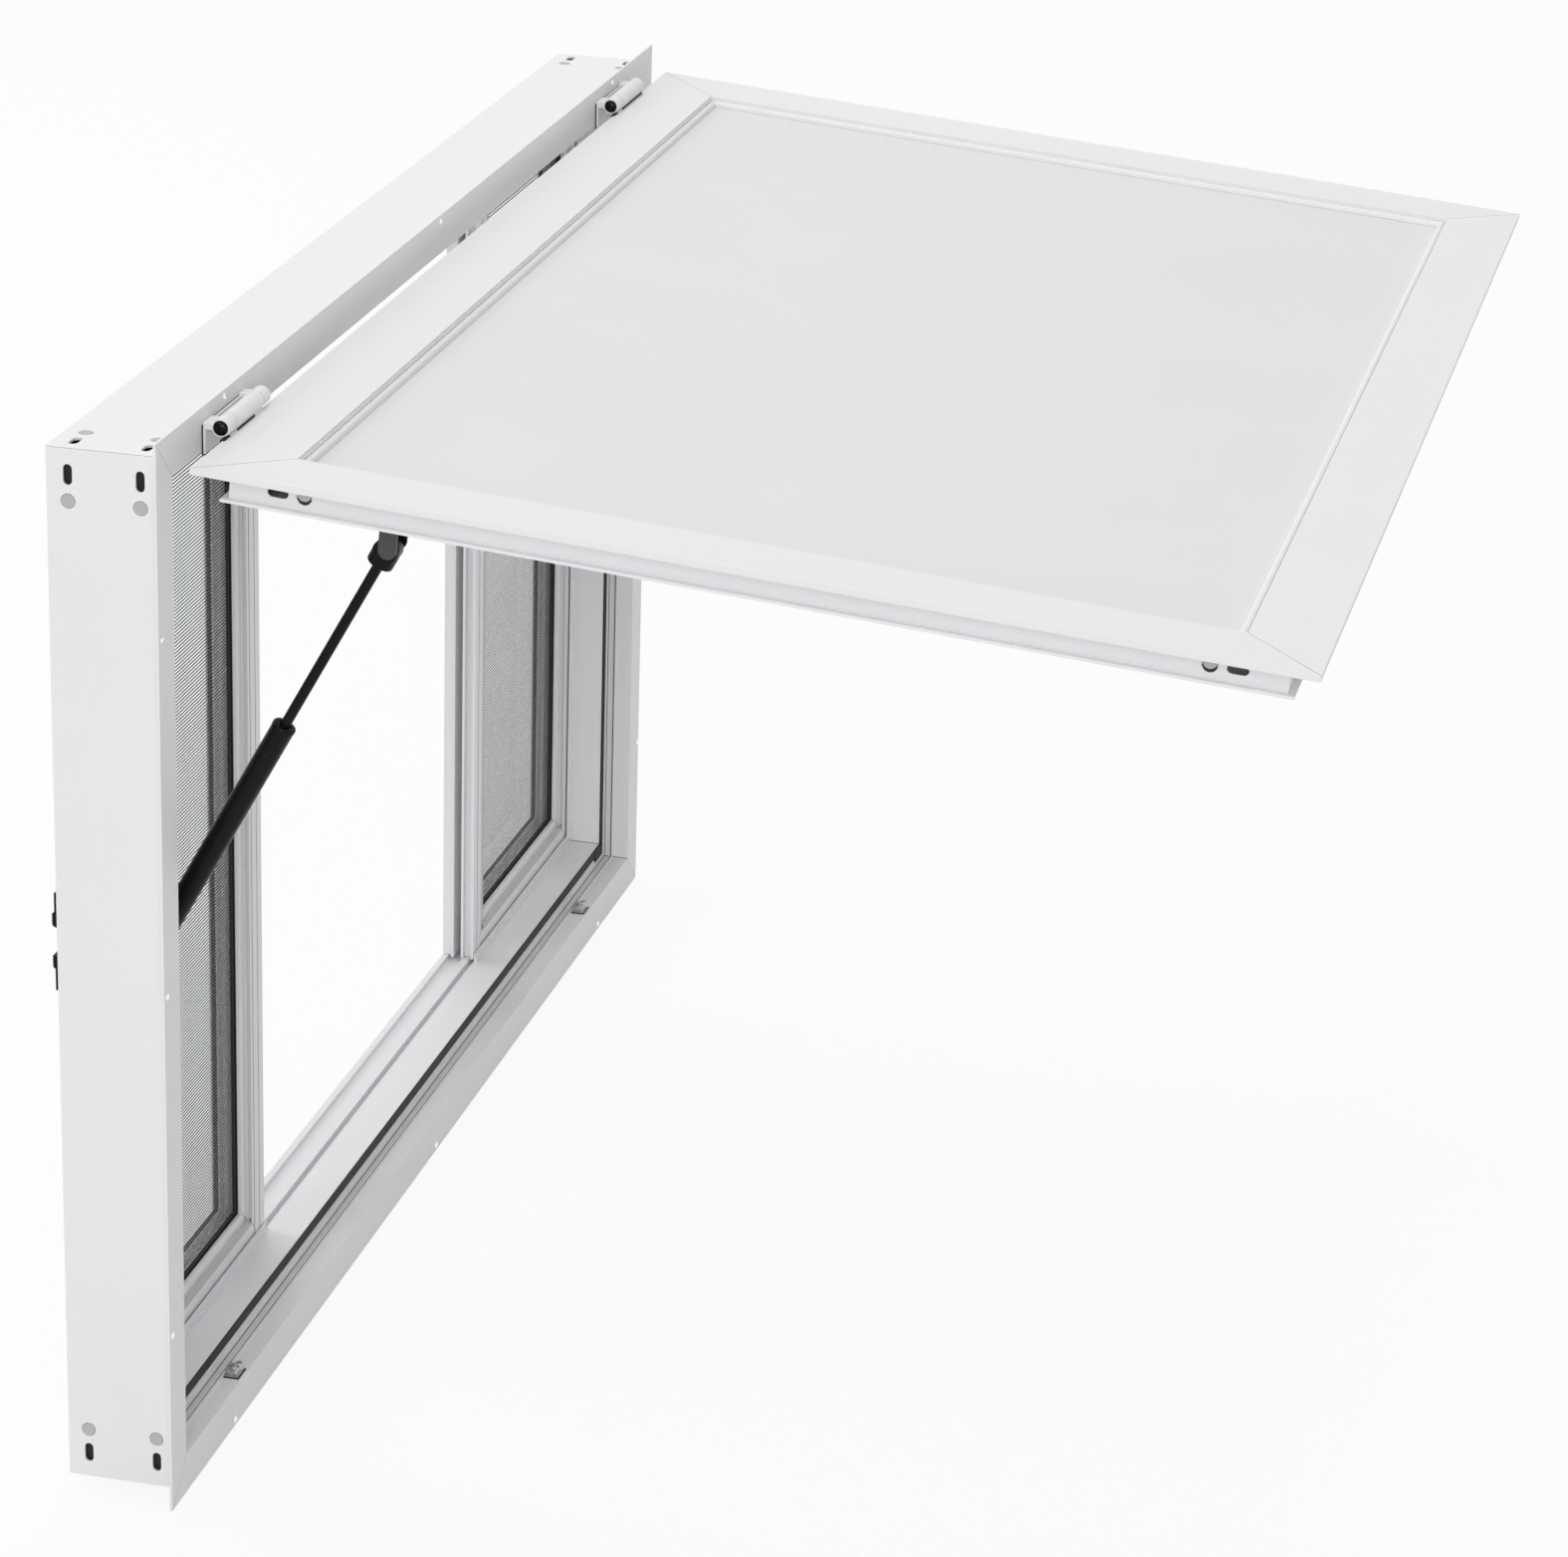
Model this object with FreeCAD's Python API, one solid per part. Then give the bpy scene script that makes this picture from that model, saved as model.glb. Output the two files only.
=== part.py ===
# Concession window with a lift-up awning door, modelled in millimetres.
# X runs along the width, -Y is the outside, Z is up. The origin lies on the
# back face of the mounting flange, at mid-width of its bottom strip.
import FreeCAD, Part
import math
import os

V = FreeCAD.Vector
os.makedirs("parts", exist_ok=True)

# Main frame: outside size over the flange, and the steps behind it. A depth
# is a Y value, and an inset is measured inwards from the flange's outer edge.
flange_w = 1370.0
flange_h = 862.0
flange_t = 2.0
flange_reach = 13.0
casing_depth = 87.0
wall = 2.0
ledge_in = 33.0
ledge_back = 15.0
lip_h = 1.5
rib_from_lip = 1.6
rib_t = 1.0
rib_h = 1.0
step_y = 22.6
step_ribs_down = (12.0, 18.0)
step_rib_h = 0.8
platform_in = 54.0
platform_back = 55.2
fin_from_back = 0.8
fin_t = 1.4
fin_h = 8.0
fin_foot_t = 1.5
fin_foot_h = 4.0
gap_t = 4.0
track_up = 2.0
track_w = 7.1
track_from_front = 3.0
back_track_w = 5.8
track_drop = 2.0
origin_up = 10.0
margin = 1.0

# Seal on the step, under the closed door's rear edge
seal_t = 1.5
seal_h = 8.5

# Fixings in the frame. A corner distance runs along the member from its end.
screw_d = 4.0
screw_in = 5.8
screw_from_side = 145.0
screw_from_top = 149.0
slot_w = 7.0
slot_l = 16.0
plug_d = 11.0
plug_gap = 0.3
row_from_front = 15.0
row_from_back = 16.5
slot_from_end = 20.5
plug_from_end = 40.5
head_slot_from_end = 17.2
head_plug_from_end = 38.5
flat_count = 10

# Sliding sashes, each with a cover strip on the stile at the middle
meet_share = 0.457
sash_seat = 0.3
sash_gap_front = 0.9
sash_gap_back = 0.1
sash_between = 8.0
sash_face = 32.0
front_flat = 21.2
recess_t = 3.3
cover_w = 11.3
cover_lap = 9.9
cover_t = 3.0
cover_proud = 1.0
channel_in = 6.0
rear_lip_t = 2.5
pane_from_back = 0.4
screen_t = 0.8
glass_t = 3.0
strip_w = 1.0
strip_t = 3.5

# Sash latches on the inner side of the left jamb
latch_l = 28.0
latch_w = 16.0
latch_in = 19.0
latch_t = 2.5
grip_l = 11.0
grip_t = 5.5
latch_up = 41.0
latch_down = -10.0

# Keepers for the door's bottom edge
keeper_from_side = 175.0
keeper_l = 18.0
keeper_gap = 0.3
keeper_w = 13.0
keeper_h = 8.0
keeper_foot = 2.0
keeper_slot = 3.0

# Awning door. Its depths are measured back from its face.
flange_show = 19.0
door_face_y = -10.0
rim_t = 5.0
door_t = 28.0
web_in = 23.0
lip_in = 18.0
lip_t = 2.5
tube_in = 57.0
face_w = 61.0
seam_t = 3.0
bead_round = 6.0
panel_back = 8.0
panel_t = 3.0
door_slot_from_end = 60.0
door_plug_from_end = 80.0
open_deg = 85.4

# Hinges
pin_y = -16.4
pin_over = 4.7
pin_d = 8.0
pin_gap = 0.3
knuckle_d = 14.0
hinge_from_side = 97.0
hinge_l = 104.0
end_knuckle = 24.0
knuckle_gap = 0.5
leaf_t = 2.5
leaf_drop = 21.0
arm_low = 3.2
arm_high = 3.0
door_arm_t = 7.0
cap_d = 12.0
cap_t = 1.0

# Gas struts. The stud is placed for the closed door, the foot below the pin.
strut_from_side = 71.0
strut_foot_y = 33.0
strut_foot_down = 410.1
stud_y = 43.0
stud_down = 141.6
stud_d = 8.0
barrel_d = 18.0
barrel_foot = 14.0
groove_down = 24.0
groove_w = 1.6
groove_t = 0.8
edge = 1.0
rod_d = 8.0
rod_shown = 165.5
rod_inside = 20.0
bore_l = 150.0
eye_w = 8.0
eye_d = 16.0
socket_d = 20.6
socket_l = 16.0
socket_edge = 3.0
eye_end_w = 17.0
eye_end_d = 19.6
tongue_gap = 1.0
tongue_t = 3.0
tongue_w = 15.0
lug_base_h = 34.0
lug_base_t = 3.0
bracket_t = 3.0
bracket_h = 44.0
bracket_front = 8.0
bracket_back = 16.0
boss_d = 14.0
foot_gap = 1.0

# Places worked out from the sizes above
half_w = flange_w / 2.0
half_h = flange_h / 2.0
mid_z = half_h - origin_up
door_half_x = half_w - flange_show
door_half_z = half_h - flange_show
pin_z = mid_z + door_half_z + pin_over
casing_x = half_w - flange_reach
casing_z = half_h - flange_reach
hinge_x = half_w - hinge_from_side
strut_x = half_w - strut_from_side
track_in = platform_in + track_up
fin_in = platform_in + fin_h
sash_front = platform_back + sash_gap_front
sash_t = (casing_depth - sash_gap_back - sash_between - sash_front) / 2.0
sash_pitch = sash_t + sash_between
SIDES = ("top", "bottom", "left", "right")
HANDS = (("left", -1), ("right", 1))


def save(name, shape):
    shape.exportStep("parts/" + name + ".step")


def block(a, b):
    # A rectangular block between two opposite corners in any order
    low = V(min(a.x, b.x), min(a.y, b.y), min(a.z, b.z))
    high = V(max(a.x, b.x), max(a.y, b.y), max(a.z, b.z))
    size = high - low
    return Part.makeBox(size.x, size.y, size.z, low)


def polygon(points):
    return Part.makePolygon(points + [points[0]])


def prism(points, travel):
    return Part.Face(polygon(points)).extrude(travel)


def ring_points(centre, across, up, radius, first, last, steps):
    # Points along an arc in the plane of two directions, angles in degrees
    points = []
    for i in range(steps + 1):
        a = math.radians(first + (last - first) * i / steps)
        points.append(centre + across * (radius * math.cos(a))
                      + up * (radius * math.sin(a)))
    return points


def disc(centre, through, across, diameter, thickness):
    # A small round plug or cutter with flats, centred on a point
    start = centre - through * (thickness / 2.0)
    up = through.cross(across)
    points = ring_points(start, across, up, diameter / 2.0, 0, 360, flat_count)
    return prism(points[:-1], through * thickness)


def slot_cutter(centre, through, along, thickness):
    # A cutter for a slot with round ends, centred on a point
    straight = (slot_l - slot_w) / 2.0
    start = centre - through * (thickness / 2.0)
    up = through.cross(along)
    points = ring_points(start + along * straight, along, up, slot_w / 2.0,
                         -90, 90, flat_count // 2)
    points += ring_points(start - along * straight, along, up, slot_w / 2.0,
                          90, 270, flat_count // 2)
    return prism(points, through * thickness)


def rod_x(x0, x1, diameter, y, z):
    # A round bar along X between two X values in any order
    return Part.makeCylinder(diameter / 2.0, abs(x1 - x0),
                             V(min(x0, x1), y, z), V(1, 0, 0))


def member(side, half_x, half_z, centre_x, outline):
    # One mitred length of a rectangular frame, from an outline of (inset, y)
    # points. Both ends are cut at 45 degrees.
    level = side in ("top", "bottom")
    sign = 1 if side in ("top", "right") else -1
    run = half_x if level else half_z
    reach = max(inset for inset, y in outline) + margin
    front = min(y for inset, y in outline) - margin
    back = max(y for inset, y in outline) + margin

    def place(along, inset, y):
        if level:
            return V(centre_x + along, y, mid_z + sign * (half_z - inset))
        return V(centre_x + sign * (half_x - inset), y, mid_z + along)

    section = [place(-run, inset, y) for inset, y in outline]
    bar = prism(section, place(run, 0, 0) - place(-run, 0, 0))
    mitres = [
        place(-run, 0.0, front),
        place(run, 0.0, front),
        place(run - reach, reach, front),
        place(-run + reach, reach, front),
    ]
    return bar.common(prism(mitres, V(0, back - front, 0)))


def hollow_member(side, half_x, half_z, outline, cavity):
    outer = member(side, half_x, half_z, 0.0, outline)
    return outer.cut(member(side, half_x, half_z, 0.0, cavity))


# Frame extrusions: flange, ledge with its lip, a rib in the drainage groove,
# two ribs on the step, the platform with a fin near its back edge, a narrow
# gap, and the two tracks that the sashes run on
rib_y = ledge_back + rib_from_lip
fin_y = platform_back - fin_from_back - fin_t
gap_in = platform_in - gap_t
low_in = platform_in - track_drop
track_y = sash_front + track_from_front
back_track_y = casing_depth - back_track_w
frame_outline = [
    (0.0, -flange_t),
    (ledge_in, -flange_t),
    (ledge_in, ledge_back - lip_h),
    (ledge_in + lip_h, ledge_back - lip_h),
    (ledge_in + lip_h, ledge_back),
    (ledge_in, ledge_back),
    (ledge_in, rib_y),
    (ledge_in + rib_h, rib_y),
    (ledge_in + rib_h, rib_y + rib_t),
    (ledge_in, rib_y + rib_t),
    (ledge_in, step_y),
]
for down in sorted(step_ribs_down, reverse=True):
    rib_in = platform_in - down
    frame_outline += [
        (rib_in, step_y),
        (rib_in, step_y - step_rib_h),
        (rib_in + rib_t, step_y - step_rib_h),
        (rib_in + rib_t, step_y),
    ]
frame_outline += [
    (platform_in, step_y),
    (platform_in, fin_y - fin_foot_t),
    (platform_in + fin_foot_h, fin_y - fin_foot_t),
    (platform_in + fin_foot_h, fin_y),
    (fin_in, fin_y),
    (fin_in, fin_y + fin_t),
    (platform_in, fin_y + fin_t),
    (platform_in, platform_back),
    (gap_in, platform_back),
    (gap_in, track_y),
    (track_in, track_y),
    (track_in, track_y + track_w),
    (low_in, track_y + track_w),
    (low_in, back_track_y),
    (track_in, back_track_y),
    (track_in, casing_depth),
    (flange_reach, casing_depth),
    (flange_reach, 0.0),
    (0.0, 0.0),
]
frame_cavity = [
    (flange_reach + wall, wall),
    (ledge_in - wall, wall),
    (ledge_in - wall, step_y + wall),
    (platform_in - wall, step_y + wall),
    (platform_in - wall, platform_back - wall),
    (gap_in - wall, platform_back - wall),
    (gap_in - wall, casing_depth - wall),
    (flange_reach + wall, casing_depth - wall),
]

# Screw holes through the flange, then slots and plug holes near the corners
cutters = {side: [] for side in SIDES}
screw_x = half_w - screw_from_side
screw_z = half_h - screw_from_top


def screw_hole(x, z):
    return Part.makeCylinder(screw_d / 2.0, flange_t * 3.0,
                             V(x, -flange_t * 2.0, z), V(0, 1, 0))


for side, sign in (("bottom", -1), ("top", 1)):
    for x in (-screw_x, 0.0, screw_x):
        hole = screw_hole(x, mid_z + sign * (half_h - screw_in))
        cutters[side].append(hole)
for side, sign in HANDS:
    for z in (-screw_z, 0.0, screw_z):
        hole = screw_hole(sign * (half_w - screw_in), mid_z + z)
        cutters[side].append(hole)

# The fins stop at the serving opening, which the sashes' cover strips mark
meet_x = half_w * meet_share
opening_x = meet_x - cover_w
for side, sign in (("bottom", -1), ("top", 1)):
    cutters[side].append(block(
        V(-opening_x, fin_y - fin_foot_t - margin,
          mid_z + sign * (half_h - platform_in)),
        V(opening_x, fin_y + fin_t + margin / 2.0,
          mid_z + sign * (half_h - fin_in - margin))))

plugs = []
for y in (row_from_front, casing_depth - row_from_back):
    for sx in (-1, 1):
        for sz in (-1, 1):
            jamb = "left" if sx < 0 else "right"
            rail = "bottom" if sz < 0 else "top"
            outer_x = sx * casing_x
            outer_z = mid_z + sz * casing_z
            at = V(outer_x, y, mid_z + sz * (casing_z - slot_from_end))
            cutters[jamb].append(slot_cutter(at, V(1, 0, 0), V(0, 0, 1),
                                             wall * 3.0))
            at = V(outer_x, y, mid_z + sz * (casing_z - plug_from_end))
            cutters[jamb].append(disc(at, V(1, 0, 0), V(0, 1, 0),
                                      plug_d + plug_gap * 2.0, wall * 3.0))
            at.x = outer_x - sx * wall / 2.0
            plugs.append(disc(at, V(1, 0, 0), V(0, 1, 0), plug_d, wall))
            at = V(sx * (casing_x - head_slot_from_end), y, outer_z)
            cutters[rail].append(slot_cutter(at, V(0, 0, 1), V(1, 0, 0),
                                             wall * 3.0))
            at = V(sx * (casing_x - head_plug_from_end), y, outer_z)
            cutters[rail].append(disc(at, V(0, 0, 1), V(0, 1, 0),
                                      plug_d + plug_gap * 2.0, wall * 3.0))
            at.z = outer_z - sz * wall / 2.0
            plugs.append(disc(at, V(0, 0, 1), V(0, 1, 0), plug_d, wall))

frame_names = {
    "top": "frame_head",
    "bottom": "frame_sill",
    "left": "frame_jamb_left",
    "right": "frame_jamb_right",
}
for side in SIDES:
    length = hollow_member(side, half_w, half_h, frame_outline, frame_cavity)
    save(frame_names[side], length.cut(cutters[side]))
save("frame_corner_plugs", Part.makeCompound(plugs))

# Black seal on the step wall, along the platform's edge
seal_out = platform_in - seal_h
seal = block(V(-half_w + seal_out, step_y - seal_t, mid_z - half_h + seal_out),
             V(half_w - seal_out, step_y, mid_z + half_h - seal_out))
seal_hole = block(
    V(-half_w + platform_in, step_y - seal_t * 2.0, mid_z - half_h + platform_in),
    V(half_w - platform_in, step_y + seal_t, mid_z + half_h - platform_in))
save("frame_seal", seal.cut(seal_hole))

# Sliding sashes: an outer screen and an inner glass sash on each side
sash_x_out = half_w - track_in - sash_seat
sash_half_x = (sash_x_out - meet_x) / 2.0
sash_mid_x = (sash_x_out + meet_x) / 2.0
sash_half_z = half_h - track_in - sash_seat


def sash_outline(y):
    return [
        (0.0, y),
        (front_flat, y),
        (front_flat, y + recess_t),
        (sash_face, y + recess_t),
        (sash_face, y + sash_t),
        (0.0, y + sash_t),
    ]


def cover_strip(sign, y, rear_lip):
    # The strip laps over the stile, and its C-shaped section beside the
    # stile is open towards the serving opening
    inner = meet_x - cover_w
    points = [
        (inner, y - cover_proud),
        (meet_x + cover_lap, y - cover_proud),
        (meet_x + cover_lap, y),
        (meet_x, y),
        (meet_x, y + sash_t),
    ]
    if rear_lip:
        lip_y = y + sash_t - rear_lip_t
        points += [(inner, y + sash_t), (inner, lip_y)]
        points += [(inner + channel_in, lip_y)]
    else:
        points += [(inner + channel_in, y + sash_t)]
    points += [
        (inner + channel_in, y - cover_proud + cover_t),
        (inner, y - cover_proud + cover_t),
    ]
    low = mid_z - sash_half_z
    section = [V(sign * x, py, low) for x, py in points]
    return prism(section, V(0, 0, sash_half_z * 2.0))


def sash(prefix, sign, y, pane_t, rear_lip):
    centre = sign * sash_mid_x
    outline = sash_outline(y)
    rails = []
    for side in ("bottom", "top"):
        rails.append(member(side, sash_half_x, sash_half_z, centre, outline))
    stiles = {}
    for side in ("left", "right"):
        stiles[side] = member(side, sash_half_x, sash_half_z, centre, outline)
    meeting = "right" if sign < 0 else "left"
    cover = cover_strip(sign, y, rear_lip)
    stiles[meeting] = stiles[meeting].fuse(cover).removeSplitter()
    save(prefix + "_rails", Part.makeCompound(rails))
    save(prefix + "_stiles", Part.makeCompound(list(stiles.values())))
    # Pane, and the black strip laid round its edge
    in_x = sash_half_x - sash_face
    in_z = sash_half_z - sash_face
    pane_y = y + sash_t - pane_t - pane_from_back
    pane = block(V(centre - in_x, pane_y, mid_z - in_z),
                 V(centre + in_x, pane_y + pane_t, mid_z + in_z))
    ring = block(V(centre - in_x, pane_y - strip_t, mid_z - in_z),
                 V(centre + in_x, pane_y, mid_z + in_z))
    hole_x = in_x - strip_w
    hole_z = in_z - strip_w
    hole = block(V(centre - hole_x, pane_y - strip_t * 2.0, mid_z - hole_z),
                 V(centre + hole_x, pane_y + strip_t, mid_z + hole_z))
    save(prefix + "_pane", pane)
    save(prefix + "_strip", ring.cut(hole))


for hand, sign in HANDS:
    sash("screen_" + hand, sign, sash_front, screen_t, True)
    sash("glass_" + hand, sign, sash_front + sash_pitch, glass_t, False)

# Two small black latches with thick finger grips at the ends that face
# each other
latches = []
latch_x = -half_w + latch_in
for low, grip_low in ((latch_up, latch_up),
                      (latch_down, latch_down + latch_l - grip_l)):
    plate = block(V(latch_x, casing_depth, mid_z + low),
                  V(latch_x + latch_w, casing_depth + latch_t,
                    mid_z + low + latch_l))
    grip = block(V(latch_x, casing_depth, mid_z + grip_low),
                 V(latch_x + latch_w, casing_depth + grip_t,
                   mid_z + grip_low + grip_l))
    latches.append(plate.fuse(grip).removeSplitter())
save("sash_latches", Part.makeCompound(latches))

# Round-topped keepers on the sill's ledge, split by a slot
ledge_z = mid_z - half_h + ledge_in
keeper_x = half_w - keeper_from_side
keeper_r = keeper_w / 2.0
keeper_y = ledge_back - lip_h - keeper_gap - keeper_w
for hand, sign in HANDS:
    start = sign * keeper_x - keeper_l / 2.0
    middle = V(start, keeper_y + keeper_r, ledge_z + keeper_h - keeper_r)
    dome = ring_points(middle, V(0, 1, 0), V(0, 0, 1), keeper_r, 0, 180, flat_count)
    section = [V(start, keeper_y + keeper_w, ledge_z)] + dome
    section += [V(start, keeper_y, ledge_z)]
    body = prism(section, V(keeper_l, 0, 0))
    gap = block(V(sign * keeper_x - keeper_slot / 2.0, keeper_y - margin,
                  ledge_z + keeper_foot),
                V(sign * keeper_x + keeper_slot / 2.0,
                  keeper_y + keeper_w + margin, ledge_z + keeper_h + margin))
    save("door_keeper_" + hand, body.cut(gap))


# Hinges: the fixed leaf carries the two end knuckles on arms, and the pin
# has a black cap at each end
def knuckle(x0, x1):
    return rod_x(x0, x1, knuckle_d, pin_y, pin_z)


def pin_bore(x0, x1):
    return rod_x(x0 - margin, x1 + margin, pin_d + pin_gap * 2.0, pin_y, pin_z)


def fixed_leaf(x0):
    x1 = x0 + hinge_l
    leaf = block(V(x0, -flange_t - leaf_t, pin_z - leaf_drop),
                 V(x1, -flange_t, pin_z))
    for a, b in ((x0, x0 + end_knuckle), (x1 - end_knuckle, x1)):
        arm = block(V(a, pin_y, pin_z - arm_low),
                    V(b, -flange_t, pin_z + arm_high))
        leaf = leaf.fuse(arm).fuse(knuckle(a, b))
    return leaf.cut(pin_bore(x0, x1)).removeSplitter()


def hinge_pin(x0):
    x1 = x0 + hinge_l
    pin = rod_x(x0, x1, pin_d, pin_y, pin_z)
    pin = pin.fuse(rod_x(x0 - cap_t, x0, cap_d, pin_y, pin_z))
    pin = pin.fuse(rod_x(x1, x1 + cap_t, cap_d, pin_y, pin_z))
    return pin.removeSplitter()


def swing(shape):
    # From the closed pose to the open one, about the hinge pins
    turned = shape.copy()
    turned.rotate(V(0, pin_y, pin_z), V(1, 0, 0), -open_deg)
    return turned


def door_knuckle(x0):
    a = x0 + end_knuckle + knuckle_gap
    b = x0 + hinge_l - end_knuckle - knuckle_gap
    arm_z = mid_z + door_half_z
    arm = block(V(a, door_face_y + rim_t - door_arm_t, arm_z),
                V(b, door_face_y + rim_t, pin_z))
    barrel = knuckle(a, b).fuse(arm)
    return barrel.cut(pin_bore(a, b)).removeSplitter()


for hand, sign in HANDS:
    x0 = -hinge_x if sign < 0 else hinge_x - hinge_l
    save("hinge_" + hand + "_leaf", fixed_leaf(x0))
    save("hinge_" + hand + "_pin", hinge_pin(x0))
    save("door_knuckle_" + hand, swing(door_knuckle(x0)))


# Awning door, drawn closed and then swung open: a wide flat face, a rim, a
# box behind it with a rear lip, and a rounded bead that holds the panel
def depth(w):
    return door_face_y + w


door_outline = [
    (0.0, depth(0.0)),
    (face_w, depth(0.0)),
    (face_w, depth(seam_t)),
    (face_w + 1.0, depth(seam_t)),
]
for a in (180, 135, 90, 45, 0):
    inset = face_w + 1.0 + bead_round / 2.0 * (1.0 + math.cos(math.radians(a)))
    rise = bead_round / 2.0 * math.sin(math.radians(a))
    door_outline.append((inset, depth(seam_t + bead_round / 2.0 - rise)))
door_outline += [
    (face_w + 1.0 + bead_round, depth(panel_back)),
    (tube_in, depth(panel_back)),
    (tube_in, depth(door_t)),
    (lip_in, depth(door_t)),
    (lip_in, depth(door_t - lip_t)),
    (web_in, depth(door_t - lip_t)),
    (web_in, depth(rim_t)),
    (0.0, depth(rim_t)),
]
door_cavity = [
    (web_in + wall, depth(rim_t)),
    (tube_in - wall, depth(rim_t)),
    (tube_in - wall, depth(door_t - lip_t)),
    (web_in + wall, depth(door_t - lip_t)),
]
door_cutters = {side: [] for side in SIDES}
door_plugs = []
web_x = door_half_x - web_in
row_y = depth((rim_t + door_t - lip_t) / 2.0)
for hand, sx in HANDS:
    for sz in (-1, 1):
        at = V(sx * web_x, row_y, mid_z + sz * (door_half_z - door_slot_from_end))
        door_cutters[hand].append(slot_cutter(at, V(1, 0, 0), V(0, 0, 1),
                                              wall * 3.0))
        at = V(sx * web_x, row_y, mid_z + sz * (door_half_z - door_plug_from_end))
        door_cutters[hand].append(disc(at, V(1, 0, 0), V(0, 1, 0),
                                       plug_d + plug_gap * 2.0, wall * 3.0))
        at.x = sx * (web_x - wall / 2.0)
        door_plugs.append(disc(at, V(1, 0, 0), V(0, 1, 0), plug_d, wall))
door_names = {
    "top": "door_top_rail",
    "bottom": "door_bottom_rail",
    "left": "door_stile_left",
    "right": "door_stile_right",
}
for side in SIDES:
    length = hollow_member(side, door_half_x, door_half_z, door_outline,
                           door_cavity)
    if door_cutters[side]:
        length = length.cut(door_cutters[side])
    save(door_names[side], swing(length))
save("door_corner_plugs", swing(Part.makeCompound(door_plugs)))
panel_x = door_half_x - tube_in
panel_z = door_half_z - tube_in
panel = block(V(-panel_x, depth(panel_back), mid_z - panel_z),
              V(panel_x, depth(panel_back + panel_t), mid_z + panel_z))
save("door_panel", swing(panel))

# Gas struts: foot bracket on the jamb, barrel, rod, and the door's bracket
# with two tongues that hold the rod's socket between them
foot = V(0, strut_foot_y, pin_z - strut_foot_down)
stud = V(0, stud_y, pin_z - stud_down)
pin_at = V(0, pin_y, pin_z)
opened = FreeCAD.Rotation(V(1, 0, 0), -open_deg)
top = pin_at + opened.multVec(stud - pin_at)
axis = top - foot
strut_l = axis.Length
axis.normalize()
side_dir = axis.cross(V(1, 0, 0))
barrel_top = strut_l - rod_shown
jamb_face = half_w - platform_in


def strut_point(x, along):
    return V(x, foot.y, foot.z) + axis * along


def turned(x, profile):
    # A round piece on the strut's axis, from (radius, along) points
    points = [strut_point(x, along) + side_dir * r for r, along in profile]
    face = Part.Face(polygon(points))
    return face.revolve(strut_point(x, 0.0), axis, 360)


barrel_r = barrel_d / 2.0
bore_r = rod_d / 2.0 + pin_gap
groove_at = barrel_top - groove_down
barrel_profile = [
    (0.0, barrel_foot),
    (barrel_r, barrel_foot),
    (barrel_r, groove_at - groove_w / 2.0),
    (barrel_r - groove_t, groove_at),
    (barrel_r, groove_at + groove_w / 2.0),
    (barrel_r, barrel_top),
    (bore_r, barrel_top),
    (bore_r, barrel_top - bore_l),
    (0.0, barrel_top - bore_l),
]
rod_profile = [
    (0.0, barrel_top - rod_inside),
    (rod_d / 2.0, barrel_top - rod_inside),
    (rod_d / 2.0, strut_l - socket_l),
    (socket_d / 2.0 - socket_edge, strut_l - socket_l),
    (socket_d / 2.0, strut_l - socket_l + socket_edge),
    (socket_d / 2.0, strut_l),
    (0.0, strut_l),
]

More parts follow.
